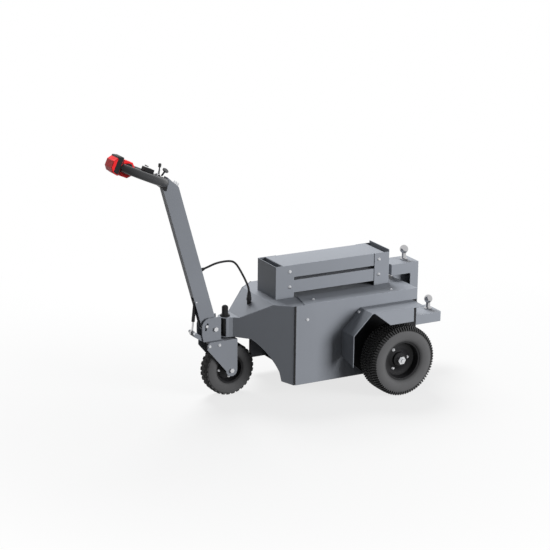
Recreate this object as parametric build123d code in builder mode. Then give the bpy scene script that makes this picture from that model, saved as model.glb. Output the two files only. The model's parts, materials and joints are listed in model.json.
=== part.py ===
"""Walk-behind electric tow tug: welded steel body on two drive wheels and a steered front wheel."""

import os
from math import cos, hypot, radians, sin, sqrt, tan

from build123d import *

os.makedirs("parts", exist_ok=True)

# Frame: +X is forward to the tiller, +Y the left side, +Z up, floor at zero, millimetres.

# Sheet and clearances
SHEET = 4.0
HEAVY_PLATE = 8.0
PIN_CLEAR = 0.3
# Across-corners radius of a nut or bolt head to its shank's radius
NUT_RATIO = 1.7
RUN_CLEAR = 8.0
FACE_CLEAR = 0.5

# Rear wheels
REAR_TYRE_R = 203.0
REAR_TYRE_W = 152.0
REAR_TREAD_HALF = 58.0
REAR_TREAD_CROWN = 9.0
REAR_BULGE_R = 160.0
REAR_LUGS = 24
REAR_LUG_IN = 26.0
REAR_GROOVE = 11.0
REAR_GROOVE_DEEP = 6.0
REAR_RIM_R = 106.0
REAR_SEAT_HALF = 56.0
TRACK_HALF = 410.0
AXLE_R = 20.0
AXLE_TUBE_R = 36.0
HUB_R = 48.0

# Front wheel
FRONT_TYRE_R = 152.0
FRONT_TYRE_W = 88.0
FRONT_TREAD_HALF = 36.0
FRONT_TREAD_CROWN = 7.0
FRONT_BULGE_R = 116.0
FRONT_LUGS = 22
FRONT_LUG_IN = 16.0
FRONT_GROOVE = 8.0
FRONT_GROOVE_DEEP = 5.0
FRONT_SEAT_HALF = 31.0
FRONT_RIM_R = 78.0
FRONT_AXLE_R = 8.0
FRONT_HUB_R = 24.0

# Tiller: pivot, arm and head, set out from the rear axle
PIVOT_STATION = 951.0
PIVOT_Z = 400.0
ARM_LEAN = 16.0
ARM_DEPTH = 90.0
ARM_WIDTH = 44.0
ARM_WALL = 4.0
ARM_TOP_Z = 1222.0
ARM_BACK_OFFSET = 20.0
ARM_PEAK_IN = 46.0
ARM_PEAK_RISE = 75.0
HEAD_RISE = 24.0
HEAD_LENGTH = 345.0
HEAD_SETBACK = 22.2
HEAD_LIFT = 48.8
BUTTON_LENGTH = 52.0
BUTTON_H = 96.0
BUTTON_W = 92.0
BUTTON_FACE = 38.0
BUTTON_KNEE = 80.0
GRIP_R = 20.0
GRIP_HALF = 98.0

ARM_SIN = sin(radians(ARM_LEAN))
ARM_COS = cos(radians(ARM_LEAN))
ARM_RUN = (ARM_TOP_Z - PIVOT_Z) / ARM_COS
ARM_BACK = -ARM_BACK_OFFSET
ARM_FRONT = ARM_DEPTH - ARM_BACK_OFFSET
HEAD_COS = cos(radians(HEAD_RISE))
HEAD_SIN = sin(radians(HEAD_RISE))
HEAD_AT = (ARM_FRONT - HEAD_SETBACK, ARM_RUN + HEAD_LIFT)
HEAD_STATION = PIVOT_STATION + HEAD_AT[0] * ARM_COS + HEAD_AT[1] * ARM_SIN
HEAD_Z = PIVOT_Z - HEAD_AT[0] * ARM_SIN + HEAD_AT[1] * ARM_COS

# Reach of the ends from the rear axle, and the shift that centres the whole length
HITCH_REACH = 507.0
HEAD_REACH = HEAD_STATION + HEAD_LENGTH * HEAD_COS + BUTTON_FACE / 2 * HEAD_SIN
AXLE_X = (HITCH_REACH - HEAD_REACH) / 2
PIVOT_X = AXLE_X + PIVOT_STATION

# Body
BODY_HALF = 270.0
BODY_REAR_STATION = -211.0
BODY_REAR_X = AXLE_X + BODY_REAR_STATION
BODY_FRONT_STATION = 579.0
BODY_FRONT_X = AXLE_X + BODY_FRONT_STATION
DECK_Z = 543.0
BELLY_Z = 84.0
BELLY_FRONT_STATION = 482.0
BELLY_FRONT_X = AXLE_X + BELLY_FRONT_STATION
PANEL_FLANGE = 154.0
PANEL_SKEW = 38.0
LINER_LAP = 31.0
PANEL_SEAM = 6.0
PANEL_FRONT_X = BODY_FRONT_X - PANEL_SEAM
PANEL_FLANGE_FRONT_STATION = 520.0
PANEL_FLANGE_FRONT_X = AXLE_X + PANEL_FLANGE_FRONT_STATION
REAR_WALL_FOOT_Z = 200.0

# Nose, hood and neck
NECK_STATION = 850.0
NECK_X = AXLE_X + NECK_STATION
NECK_HALF = 46.0
NECK_END_STATION = 888.0
NECK_END_X = AXLE_X + NECK_END_STATION
NECK_END_HALF = 36.0
NECK_TIP_R = 40.0
NECK_TOP_Z = 457.0
NECK_FOOT_Z = 344.0
KINGPIN_STATION = 876.0
KINGPIN_X = AXLE_X + KINGPIN_STATION
KINGPIN_TUBE_R = 28.0
KINGPIN_R = 14.0
HOOD_TOP_STATION = 669.0
HOOD_TOP_X = AXLE_X + HOOD_TOP_STATION
HOOD_FOOT_STATION = 820.0
HOOD_FOOT_X = AXLE_X + HOOD_FOOT_STATION
NOSE_KNEE_AT = 104.0
NOSE_KNEE_Z = 337.0
NOSE_ARC_AT = 178.0
NOSE_ARC_Z = 278.0
NOSE_HEEL_AT = 265.0
NOSE_HEEL_Z = 158.0
NOSE_TOE_AT = 278.0
NOSE_TOE_Z = 103.0
NOSE_RIGHT_Z = 262.0

# Arch and fender
ARCH_FRONT_STATION = 280.0
ARCH_FRONT_X = AXLE_X + ARCH_FRONT_STATION
ARCH_SHOULDER_Z = 366.0
ARCH_TOP_STATION = 162.0
ARCH_TOP_X = AXLE_X + ARCH_TOP_STATION
ARCH_TOP_Z = 482.0
ARCH_FOOT_Z = 218.0
ARCH_TAIL_Z = 185.0
ARCH_REAR_STATION = -177.0
ARCH_REAR_X = AXLE_X + ARCH_REAR_STATION
PANEL_TAIL_STATION = 122.0
PANEL_TAIL_X = AXLE_X + PANEL_TAIL_STATION
FENDER_OUT = 400.0
FLAP_OUT = 478.0
FLAP_DROP = 52.0
FLAP_FRONT_STATION = 92.0
FLAP_FRONT_X = AXLE_X + FLAP_FRONT_STATION
FLAP_REAR_STATION = -60.0
FLAP_REAR_X = AXLE_X + FLAP_REAR_STATION
FLAP_ROOT_FRONT_STATION = 150.0
FLAP_ROOT_FRONT_X = AXLE_X + FLAP_ROOT_FRONT_STATION
FLAP_ROOT_REAR_STATION = -110.0
FLAP_ROOT_REAR_X = AXLE_X + FLAP_ROOT_REAR_STATION

# Ballast
BALLAST_HALF = 108.0
BALLAST_FRONT_STATION = 616.0
BALLAST_FRONT_X = AXLE_X + BALLAST_FRONT_STATION
BALLAST_REAR_STATION = -118.0
BALLAST_REAR_X = AXLE_X + BALLAST_REAR_STATION
BALLAST_TOP_Z = 731.0
SLAB_H = 72.0
SLAB_GAP = 17.0
SLAB_FRONT_GAP = 46.0
SLAB_REAR_GAP = 30.0
REAR_PLATE_RISE = 14.0
WING_FRONT = 116.0
WING_REAR = 97.0

# Hitch
POST_HALF = 68.0
POST_REAR_STATION = -343.0
POST_REAR_X = AXLE_X + POST_REAR_STATION
POST_FRONT_STATION = -161.0
POST_FRONT_X = AXLE_X + POST_FRONT_STATION
POST_TOP_Z = 636.0
POST_WALL = 6.0
WINDOW_REAR_STATION = -289.0
WINDOW_REAR_X = AXLE_X + WINDOW_REAR_STATION
WINDOW_FOOT_Z = 489.0
WINDOW_TOP_Z = 571.0
HITCH_HALF = 80.0
HITCH_TOP_Z = 311.0
HITCH_H = 58.0
HITCH_PLATE = 12.0
BALL_R = 25.0
BALL_RISE = 62.0
BALL_NECK_R = 13.0
BALL_FLANGE_R = 23.0
BALL_FLANGE_H = 12.0
BALL_SHANK_R = 10.0
BALL_SHANK = 34.0
UPPER_BALL_STATION = -284.0
UPPER_BALL_X = AXLE_X + UPPER_BALL_STATION
LOWER_BALL_STATION = -463.0
LOWER_BALL_X = AXLE_X + LOWER_BALL_STATION

# Fork and front wheel place
FRONT_AXLE_STATION = 862.0
FRONT_AXLE_X = AXLE_X + FRONT_AXLE_STATION
FORK_IN = FRONT_TYRE_W / 2 + RUN_CLEAR
FORK_TOP_Z = 334.0
FORK_CROWN_H = 14.0
FORK_REAR_STATION = 827.0
FORK_REAR_X = AXLE_X + FORK_REAR_STATION
FORK_NOSE_STATION = 1012.0
FORK_NOSE_X = AXLE_X + FORK_NOSE_STATION
FORK_NOSE_Z = 292.0
FORK_EYE_R = 34.0

# Tiller bracket, pivot and slot
PIVOT_R = 8.0
BRACKET_IN = ARM_WIDTH / 2 + 6.0
BRACKET_REAR_STATION = 918.0
BRACKET_REAR_X = AXLE_X + BRACKET_REAR_STATION
BRACKET_NOSE_STATION = 1034.0
BRACKET_NOSE_X = AXLE_X + BRACKET_NOSE_STATION
BRACKET_TOP_Z = 468.0
SLOT_RADIUS = 60.0
SLOT_BOLT_R = 5.0
SLOT_BOLT_ANGLE = 23.0
TILT_BACK = 12.0
TILT_FORWARD = 22.0
CROSS_BACK_STATION = 985.0
CROSS_BACK_X = AXLE_X + CROSS_BACK_STATION
CROSS_H = 40.0

# Gas spring
SPRING_EYE_STATION = 1079.0
SPRING_EYE_X = AXLE_X + SPRING_EYE_STATION
SPRING_EYE_Z = 389.0
SPRING_TOP_STATION = 1061.0
SPRING_TOP_X = AXLE_X + SPRING_TOP_STATION
SPRING_TOP_Z = 565.0
SPRING_TUBE_R = 9.5
SPRING_ROD_R = 5.0
SPRING_EYE_R = 9.0
SPRING_SWAY = 4.7
SPRING_PIN_R = 4.0
SPRING_ROD_SHOWN = 62.0
LUG_HALF = 14.0

# Cable
CABLE_R = 6.0


def side_plane(y):
    """Plane at the given lateral station, with X to the right and Z up."""
    return Plane.XZ.offset(-y)


def wheel_plane(x, y, z):
    """Plane through an axle, with the axle along local X and the radius along local Y."""
    return Plane(origin=(x, y, z), x_dir=(0, 1, 0), z_dir=(1, 0, 0))


def save(part, label):
    """Label a finished piece and write it as its own STEP file."""
    part.label = label
    export_step(part, f"parts/{label}.step")


# Deck with the level front of the nose
NOSE_FLARE = (BODY_HALF - NECK_HALF) / (NECK_X - BODY_FRONT_X)
HOOD_TOP_HALF = NECK_HALF + (NECK_X - HOOD_TOP_X) * NOSE_FLARE
HOOD_FOOT_HALF = NECK_HALF + (NECK_X - HOOD_FOOT_X) * NOSE_FLARE
INNER_HALF = BODY_HALF - SHEET

with BuildPart() as deck:
    with BuildSketch(Plane.XY.offset(DECK_Z - SHEET)):
        with BuildLine():
            Polyline(
                (BODY_REAR_X, -INNER_HALF),
                (BODY_FRONT_X - SHEET, -INNER_HALF),
                (HOOD_TOP_X, -HOOD_TOP_HALF + 2 * SHEET),
                (HOOD_TOP_X, HOOD_TOP_HALF - 2 * SHEET),
                (BODY_FRONT_X - SHEET, INNER_HALF),
                (BODY_REAR_X, INNER_HALF),
                close=True,
            )
        make_face()
    extrude(amount=SHEET)
save(deck.part, "deck")

# Belly plate
with BuildPart() as belly:
    with BuildSketch(Plane.XY.offset(BELLY_Z)):
        with Locations(((PANEL_TAIL_X + BELLY_FRONT_X) / 2, 0)):
            Rectangle(BELLY_FRONT_X - PANEL_TAIL_X, 2 * INNER_HALF)
    extrude(amount=SHEET)
save(belly.part, "belly_plate")

# Rear wall, with the sloped undertray that closes the body below the axle
with BuildPart() as rear_wall:
    with BuildSketch(side_plane(0)):
        with BuildLine():
            Polyline(
                (BODY_REAR_X, DECK_Z - SHEET),
                (BODY_REAR_X, REAR_WALL_FOOT_Z),
                (PANEL_TAIL_X, BELLY_Z),
                (PANEL_TAIL_X, BELLY_Z + SHEET),
                (BODY_REAR_X + SHEET, REAR_WALL_FOOT_Z + SHEET),
                (BODY_REAR_X + SHEET, DECK_Z - SHEET),
                close=True,
            )
        make_face()
    extrude(amount=INNER_HALF - SHEET, both=True)
save(rear_wall.part, "rear_wall")

# Side panels, each folded over the deck and cut for the wheel arch
ARCH_LINE = (
    (PANEL_TAIL_X, BELLY_Z),
    (ARCH_FRONT_X, ARCH_FOOT_Z),
    (ARCH_FRONT_X, ARCH_SHOULDER_Z),
    (ARCH_TOP_X, ARCH_TOP_Z),
    (BODY_REAR_X, ARCH_TOP_Z),
)

with BuildPart() as panel_left:
    with BuildSketch(side_plane(INNER_HALF)):
        with BuildLine():
            Polyline(
                (PANEL_FRONT_X, BELLY_Z),
                *ARCH_LINE,
                (BODY_REAR_X, DECK_Z + SHEET),
                (PANEL_FLANGE_FRONT_X, DECK_Z + SHEET),
                (PANEL_FLANGE_FRONT_X, DECK_Z),
                (PANEL_FRONT_X, DECK_Z),
                close=True,
            )
        make_face()
    extrude(amount=-SHEET)
    with BuildSketch(Plane.XY.offset(DECK_Z)):
        with BuildLine():
            Polyline(
                (BODY_REAR_X, INNER_HALF),
                (PANEL_FLANGE_FRONT_X, INNER_HALF),
                (PANEL_FLANGE_FRONT_X - PANEL_SKEW, BODY_HALF - PANEL_FLANGE),
                (BODY_REAR_X, BODY_HALF - PANEL_FLANGE),
                close=True,
            )
        make_face()
    extrude(amount=SHEET)
save(panel_left.part, "side_panel_left")

with BuildPart() as panel_right:
    mirror(panel_left.part, about=Plane.XZ)
save(panel_right.part, "side_panel_right")

# Arch liners close the body behind each wheel
with BuildPart() as liner_left:
    with BuildSketch(side_plane(INNER_HALF - SHEET)):
        with BuildLine():
            Polyline(
                (PANEL_TAIL_X + SHEET, BELLY_Z + SHEET),
                (ARCH_FRONT_X + LINER_LAP, BELLY_Z + SHEET),
                (ARCH_FRONT_X + LINER_LAP, ARCH_TOP_Z + LINER_LAP),
                (BODY_REAR_X, ARCH_TOP_Z + LINER_LAP),
                (BODY_REAR_X, REAR_WALL_FOOT_Z),
                close=True,
            )
        make_face()
        with Locations((AXLE_X, REAR_TYRE_R)):
            Circle(AXLE_TUBE_R + FACE_CLEAR, mode=Mode.SUBTRACT)
    extrude(amount=-SHEET)
save(liner_left.part, "arch_liner_left")

with BuildPart() as liner_right:
    mirror(liner_left.part, about=Plane.XZ)
save(liner_right.part, "arch_liner_right")

# Fenders: a folded strip that follows the arch, with a bent flap over the tyre
STRIP_MARGIN = 60.0

with BuildPart() as fender_left:
    with BuildSketch(side_plane(BODY_HALF)):
        with BuildLine():
            Polyline(
                (ARCH_FRONT_X, ARCH_TAIL_Z - STRIP_MARGIN),
                (ARCH_FRONT_X, ARCH_SHOULDER_Z),
                (ARCH_TOP_X, ARCH_TOP_Z),
                (ARCH_REAR_X - STRIP_MARGIN, ARCH_TOP_Z),
                (ARCH_REAR_X - STRIP_MARGIN, ARCH_TAIL_Z - STRIP_MARGIN),
                close=True,
            )
        make_face()
        offset(amount=-SHEET, mode=Mode.SUBTRACT)
        with Locations(((ARCH_FRONT_X + ARCH_REAR_X) / 2, (ARCH_TOP_Z + ARCH_TAIL_Z) / 2)):
            Rectangle(ARCH_FRONT_X - ARCH_REAR_X, ARCH_TOP_Z - ARCH_TAIL_Z, mode=Mode.INTERSECT)
    extrude(amount=-(FENDER_OUT - BODY_HALF))
    with BuildSketch(Plane.YZ.offset(ARCH_FRONT_X)):
        with BuildLine():
            Polyline(
                (BODY_HALF, ARCH_TAIL_Z),
                (FENDER_OUT, ARCH_TAIL_Z),
                (BODY_HALF, ARCH_FOOT_Z),
                close=True,
            )
        make_face()
    extrude(amount=-2 * SHEET, mode=Mode.SUBTRACT)
    FLAP_SPAN = hypot(FLAP_OUT - FENDER_OUT, FLAP_DROP)
    FLAP_PLANE = Plane(
        origin=(AXLE_X, FENDER_OUT, ARCH_TOP_Z),
        x_dir=(1, 0, 0),
        z_dir=(0, FLAP_DROP / FLAP_SPAN, (FLAP_OUT - FENDER_OUT) / FLAP_SPAN),
    )
    with BuildSketch(FLAP_PLANE):
        with BuildLine():
            Polyline(
                (FLAP_ROOT_REAR_X - AXLE_X, -SHEET / 2),
                (FLAP_ROOT_FRONT_X - AXLE_X, -SHEET / 2),
                (FLAP_FRONT_X - AXLE_X, FLAP_SPAN),
                (FLAP_REAR_X - AXLE_X, FLAP_SPAN),
                close=True,
            )
        make_face()
    extrude(amount=-SHEET)
save(fender_left.part, "fender_left")

with BuildPart() as fender_right:
    mirror(fender_left.part, about=Plane.XZ)
save(fender_right.part, "fender_right")

# Nose plates, oblique in plan from the body corner to the neck; only the left one has a leg
NOSE_RUN = hypot(NECK_X - BODY_FRONT_X, BODY_HALF - NECK_HALF)
NOSE_DIR = ((BODY_FRONT_X - NECK_X) / NOSE_RUN, (BODY_HALF - NECK_HALF) / NOSE_RUN)
NOSE_PLANE = Plane(
    origin=(NECK_X, NECK_HALF, 0),
    x_dir=(NOSE_DIR[0], NOSE_DIR[1], 0),
    z_dir=(NOSE_DIR[1], -NOSE_DIR[0], 0),
)
HOOD_BREAK_AT = (NECK_X - HOOD_TOP_X) / -NOSE_DIR[0]
HOOD_FOOT_AT = (NECK_X - HOOD_FOOT_X) / -NOSE_DIR[0]

with BuildPart() as nose_left:
    with BuildSketch(NOSE_PLANE):
        with BuildLine():
            Polyline(
                (NOSE_TOE_AT, NOSE_TOE_Z),
                (NOSE_RUN, BELLY_Z),
                (NOSE_RUN, DECK_Z),
                (HOOD_BREAK_AT, DECK_Z),
                (HOOD_FOOT_AT, NECK_TOP_Z),
                (0, NECK_TOP_Z),
                (0, NECK_FOOT_Z),
                (NOSE_KNEE_AT, NOSE_KNEE_Z),
            )
            ThreePointArc(
                (NOSE_KNEE_AT, NOSE_KNEE_Z),
                (NOSE_ARC_AT, NOSE_ARC_Z),
                (NOSE_HEEL_AT, NOSE_HEEL_Z),
            )
            Line((NOSE_HEEL_AT, NOSE_HEEL_Z), (NOSE_TOE_AT, NOSE_TOE_Z))
        make_face()
    extrude(amount=-SHEET)
save(nose_left.part, "nose_plate_left")

with BuildPart() as nose_right:
    with BuildSketch(NOSE_PLANE):
        with BuildLine():
            Polyline(
                (NOSE_RUN, NOSE_RIGHT_Z),
                (NOSE_RUN, DECK_Z),
                (HOOD_BREAK_AT, DECK_Z),
                (HOOD_FOOT_AT, NECK_TOP_Z),
                (0, NECK_TOP_Z),
                (0, NECK_FOOT_Z),
                (NOSE_KNEE_AT, NOSE_KNEE_Z),
                close=True,
            )
        make_face()
    extrude(amount=-SHEET)
    mirror(about=Plane.XZ, mode=Mode.REPLACE)
save(nose_right.part, "nose_plate_right")

# Hood, sloped between the nose plates
HOOD_RUN = hypot(HOOD_FOOT_X - HOOD_TOP_X, DECK_Z - NECK_TOP_Z)
HOOD_DIR = ((HOOD_FOOT_X - HOOD_TOP_X) / HOOD_RUN, (NECK_TOP_Z - DECK_Z) / HOOD_RUN)
HOOD_PLANE = Plane(
    origin=(HOOD_TOP_X, 0, DECK_Z),
    x_dir=(HOOD_DIR[0], 0, HOOD_DIR[1]),
    z_dir=(-HOOD_DIR[1], 0, HOOD_DIR[0]),
)

with BuildPart() as hood:
    with BuildSketch(HOOD_PLANE):
        with BuildLine():
            Polyline(
                (0, -HOOD_TOP_HALF + 2 * SHEET),
                (HOOD_RUN, -HOOD_FOOT_HALF + SHEET),
                (HOOD_RUN, HOOD_FOOT_HALF - SHEET),
                (0, HOOD_TOP_HALF - 2 * SHEET),
                close=True,
            )
        make_face()
    extrude(amount=-SHEET)
    add(deck.part, mode=Mode.SUBTRACT)
    add(nose_left.part, mode=Mode.SUBTRACT)
    add(nose_right.part, mode=Mode.SUBTRACT)
save(hood.part, "hood")

# Neck in front of the nose plates: rounded top and bottom plates, joined by cheeks and a web
NECK_TIP_X = KINGPIN_X + NECK_TIP_R
NECK_H = NECK_TOP_Z - NECK_FOOT_Z

with BuildPart() as neck:
    with BuildSketch(Plane.XY.offset(NECK_FOOT_Z)):
        with BuildLine():
            Polyline(
                (HOOD_FOOT_X, -HOOD_FOOT_HALF),
                (NECK_X, -NECK_HALF),
                (NECK_END_X, -NECK_END_HALF),
                (NECK_END_X, NECK_END_HALF),
                (NECK_X, NECK_HALF),
                (HOOD_FOOT_X, HOOD_FOOT_HALF),
                close=True,
            )
        make_face()
        with Locations((KINGPIN_X, 0)):
            Circle(NECK_TIP_R)
    extrude(amount=NECK_H)
    with BuildSketch(Plane.XY.offset(NECK_FOOT_Z + SHEET)):
        with BuildLine():
            Polyline(
                (HOOD_FOOT_X + SHEET, -HOOD_FOOT_HALF),
                (NECK_X, -NECK_HALF + SHEET),
                (NECK_END_X, -NECK_END_HALF + SHEET),
                (NECK_END_X, -NECK_TIP_R),
                (NECK_TIP_X, -NECK_TIP_R),
                (NECK_TIP_X, NECK_TIP_R),
                (NECK_END_X, NECK_TIP_R),
                (NECK_END_X, NECK_END_HALF - SHEET),
                (NECK_X, NECK_HALF - SHEET),
                (HOOD_FOOT_X + SHEET, HOOD_FOOT_HALF),
                close=True,
            )
        make_face()
    extrude(amount=NECK_H - 2 * SHEET, mode=Mode.SUBTRACT)
    with Locations((KINGPIN_X, 0, NECK_TOP_Z)):
        Hole(KINGPIN_TUBE_R)
    add(nose_left.part, mode=Mode.SUBTRACT)
    add(nose_right.part, mode=Mode.SUBTRACT)
save(neck.part, "neck")

# Steering head tube
HEAD_TUBE_TOP_Z = NECK_TOP_Z + SHEET

with BuildPart() as head_tube:
    with BuildSketch(Plane.XY.offset(NECK_FOOT_Z)):
        with Locations((KINGPIN_X, 0)):
            Circle(KINGPIN_TUBE_R)
            Circle(KINGPIN_R + PIN_CLEAR, mode=Mode.SUBTRACT)
    extrude(amount=HEAD_TUBE_TOP_Z - NECK_FOOT_Z)
save(head_tube.part, "steering_head_tube")

# Ballast brackets, folded to a U in plan, the rear plate taller than its wings
for label, plate_x, way, wing, rise in (
    ("ballast_bracket_front", BALLAST_FRONT_X, -1, WING_FRONT, 0),
    ("ballast_bracket_rear", BALLAST_REAR_X, 1, WING_REAR, REAR_PLATE_RISE),
):
    with BuildPart() as bracket:
        with BuildSketch(Plane.XY.offset(DECK_Z)):
            with Locations((plate_x + way * wing / 2, 0)):
                Rectangle(wing, 2 * BALLAST_HALF)
            with Locations((plate_x + way * (wing + SHEET) / 2, 0)):
                Rectangle(wing - SHEET, 2 * (BALLAST_HALF - SHEET), mode=Mode.SUBTRACT)
        extrude(amount=BALLAST_TOP_Z - DECK_Z)
        with BuildSketch(Plane.XY.offset(DECK_Z)):
            with Locations((plate_x + way * SHEET / 2, 0)):
                Rectangle(SHEET, 2 * BALLAST_HALF)
        extrude(amount=BALLAST_TOP_Z + rise - DECK_Z)
    save(bracket.part, label)

# Ballast slabs, bolted between the bracket wings
SLAB_HALF = BALLAST_HALF - SHEET
SLAB_FRONT_X = BALLAST_FRONT_X - SLAB_FRONT_GAP
SLAB_REAR_X = BALLAST_REAR_X + SLAB_REAR_GAP
SLAB_EDGE = 3.0

for label, top_z in (
    ("ballast_slab_upper", BALLAST_TOP_Z - FACE_CLEAR),
    ("ballast_slab_lower", BALLAST_TOP_Z - FACE_CLEAR - SLAB_H - SLAB_GAP),
):
    with BuildPart() as slab:
        with BuildSketch(Plane.XY.offset(top_z - SLAB_H)):
            with Locations(((SLAB_FRONT_X + SLAB_REAR_X) / 2, 0)):
                Rectangle(SLAB_FRONT_X - SLAB_REAR_X, 2 * SLAB_HALF)
        extrude(amount=SLAB_H)
        chamfer(slab.edges().filter_by(Axis.Y), SLAB_EDGE)
    save(slab.part, label)

# Hitch post, a folded box with a middle web, cut away over the deck
with BuildPart() as post:
    with BuildSketch(side_plane(0)):
        with BuildLine():
            Polyline(
                (POST_REAR_X, HITCH_TOP_Z),
                (BODY_REAR_X, HITCH_TOP_Z),
                (BODY_REAR_X, WINDOW_FOOT_Z),
                (BODY_REAR_X, WINDOW_TOP_Z),
                (POST_FRONT_X, WINDOW_TOP_Z),
                (POST_FRONT_X, POST_TOP_Z),
                (POST_REAR_X, POST_TOP_Z),
                close=True,
            )
        make_face()
    extrude(amount=POST_HALF, both=True)
    with BuildSketch(side_plane(0)):
        with BuildLine():
            Polyline(
                (POST_REAR_X + POST_WALL, HITCH_TOP_Z),
                (BODY_REAR_X - POST_WALL, HITCH_TOP_Z),
                (BODY_REAR_X - POST_WALL, WINDOW_TOP_Z),
                (POST_FRONT_X - POST_WALL, WINDOW_TOP_Z),
                (POST_FRONT_X - POST_WALL, POST_TOP_Z - POST_WALL),
                (POST_REAR_X + POST_WALL, POST_TOP_Z - POST_WALL),
                close=True,
            )
        make_face()
    extrude(amount=POST_HALF - POST_WALL, both=True, mode=Mode.SUBTRACT)
    with BuildSketch(side_plane(0)):
        with Locations(((WINDOW_REAR_X + POST_FRONT_X) / 2, (WINDOW_FOOT_Z + WINDOW_TOP_Z) / 2)):
            Rectangle(POST_FRONT_X - WINDOW_REAR_X, WINDOW_TOP_Z - WINDOW_FOOT_Z)
    extrude(amount=POST_HALF, both=True, mode=Mode.SUBTRACT)
    with BuildSketch(side_plane(0)):
        with Locations(((POST_REAR_X + BODY_REAR_X) / 2, (HITCH_TOP_Z + WINDOW_TOP_Z) / 2)):
            Rectangle(BODY_REAR_X - POST_REAR_X, WINDOW_TOP_Z - HITCH_TOP_Z)
    extrude(amount=POST_WALL / 2, both=True)
    with Locations((UPPER_BALL_X, 0, POST_TOP_Z)):
        Hole(BALL_SHANK_R + PIN_CLEAR, depth=2 * POST_WALL)
save(post.part, "hitch_post")

# Lower hitch, a channel bent down at both sides and tapered to the body
with BuildPart() as hitch:
    with BuildSketch(side_plane(0)):
        with BuildLine():
            Polyline(
                (BODY_REAR_X, HITCH_TOP_Z),
                (AXLE_X - HITCH_REACH, HITCH_TOP_Z),
                (AXLE_X - HITCH_REACH, HITCH_TOP_Z - HITCH_H),
                (BODY_REAR_X, HITCH_TOP_Z - HITCH_H),
                close=True,
            )
        make_face()
    extrude(amount=HITCH_HALF, both=True)
    with BuildSketch(Plane.YZ.offset(BODY_REAR_X)):
        with Locations((0, HITCH_TOP_Z - HITCH_PLATE - HITCH_H / 2)):
            Rectangle(2 * (HITCH_HALF - HITCH_PLATE), HITCH_H)
    extrude(amount=-HITCH_REACH, mode=Mode.SUBTRACT)
    chamfer(
        hitch.edges().filter_by(Axis.Z).group_by(Axis.X)[0].group_by(Axis.Y)[0]
        + hitch.edges().filter_by(Axis.Z).group_by(Axis.X)[0].group_by(Axis.Y)[-1],
        HITCH_PLATE * 2 / 3,
    )
    with Locations((LOWER_BALL_X, 0, HITCH_TOP_Z)):
        Hole(BALL_SHANK_R + PIN_CLEAR)
save(hitch.part, "hitch_plate")

# Tow balls, turned in one piece with flange and shank
for label, ball_x, seat_z, plate in (
    ("tow_ball_upper", UPPER_BALL_X, POST_TOP_Z, POST_WALL),
    ("tow_ball_lower", LOWER_BALL_X, HITCH_TOP_Z, HITCH_PLATE),
):
    NECK_CUT = sqrt(BALL_R**2 - BALL_NECK_R**2)
    with BuildPart() as ball:
        with BuildSketch(Plane(origin=(ball_x, 0, seat_z), x_dir=(1, 0, 0), z_dir=(0, -1, 0))):
            with BuildLine():
                Polyline(
                    (0, BALL_RISE + BALL_R),
                    (0, -BALL_SHANK),
                    (BALL_SHANK_R, -BALL_SHANK),
                    (BALL_SHANK_R, 0),
                    (BALL_FLANGE_R, 0),
                    (BALL_FLANGE_R, BALL_FLANGE_H / 2),
                    (BALL_NECK_R, BALL_FLANGE_H),
                    (BALL_NECK_R, BALL_RISE - NECK_CUT),
                )
                ThreePointArc(
                    (BALL_NECK_R, BALL_RISE - NECK_CUT),
                    (BALL_R, BALL_RISE),
                    (0, BALL_RISE + BALL_R),
                )
            make_face()
        revolve(axis=Axis((ball_x, 0, seat_z), (0, 0, 1)))
        with BuildSketch(Plane.XY.offset(seat_z - plate)):
            with Locations((ball_x, 0)):
                RegularPolygon(BALL_SHANK_R * NUT_RATIO, 6)
        extrude(amount=-BALL_FLANGE_H)
    save(ball.part, label)

# Rear axle in its tube, and the drive unit that turns it
AXLE_TUBE_HALF = INNER_HALF + 2 * SHEET

with BuildPart() as axle_tube:
    with BuildSketch(side_plane(0)):
        with Locations((AXLE_X, REAR_TYRE_R)):
            Circle(AXLE_TUBE_R)
            Circle(AXLE_R + PIN_CLEAR, mode=Mode.SUBTRACT)
    extrude(amount=AXLE_TUBE_HALF, both=True)
save(axle_tube.part, "rear_axle_tube")

DRIVE_LENGTH = 220.0
DRIVE_H = 170.0
DRIVE_HALF = 90.0

with BuildPart() as drive:
    with BuildSketch(side_plane(0)):
        with Locations((AXLE_X + DRIVE_LENGTH / 4, REAR_TYRE_R + DRIVE_H / 4)):
            RectangleRounded(DRIVE_LENGTH, DRIVE_H, AXLE_TUBE_R / 2)
        with Locations((AXLE_X, REAR_TYRE_R)):
            Circle(AXLE_TUBE_R, mode=Mode.SUBTRACT)
    extrude(amount=DRIVE_HALF, both=True)
save(drive.part, "drive_unit")

# Battery block standing on the belly plate
BATTERY_TAIL_GAP = 50.0
BATTERY_REAR_X = ARCH_FRONT_X + BATTERY_TAIL_GAP
BATTERY_H = 300.0
BATTERY_HALF = 200.0

with BuildPart() as battery:
    with BuildSketch(Plane.XY.offset(BELLY_Z + SHEET)):
        with Locations(((BATTERY_REAR_X + BELLY_FRONT_X) / 2, 0)):
            Rectangle(BELLY_FRONT_X - BATTERY_REAR_X, 2 * BATTERY_HALF)
    extrude(amount=BATTERY_H)
save(battery.part, "battery_block")

# Rear wheels: reaches of the rim's disc, dish and hub from the wheel's middle
RIM_DISH_OUT = 30.8
RIM_DISC_OUT = 22.4
RIM_DISC_IN = 14.0
RIM_DISH_IN = 16.8
HUB_OUT = 34.72
HUB_IN = 67.2

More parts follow.
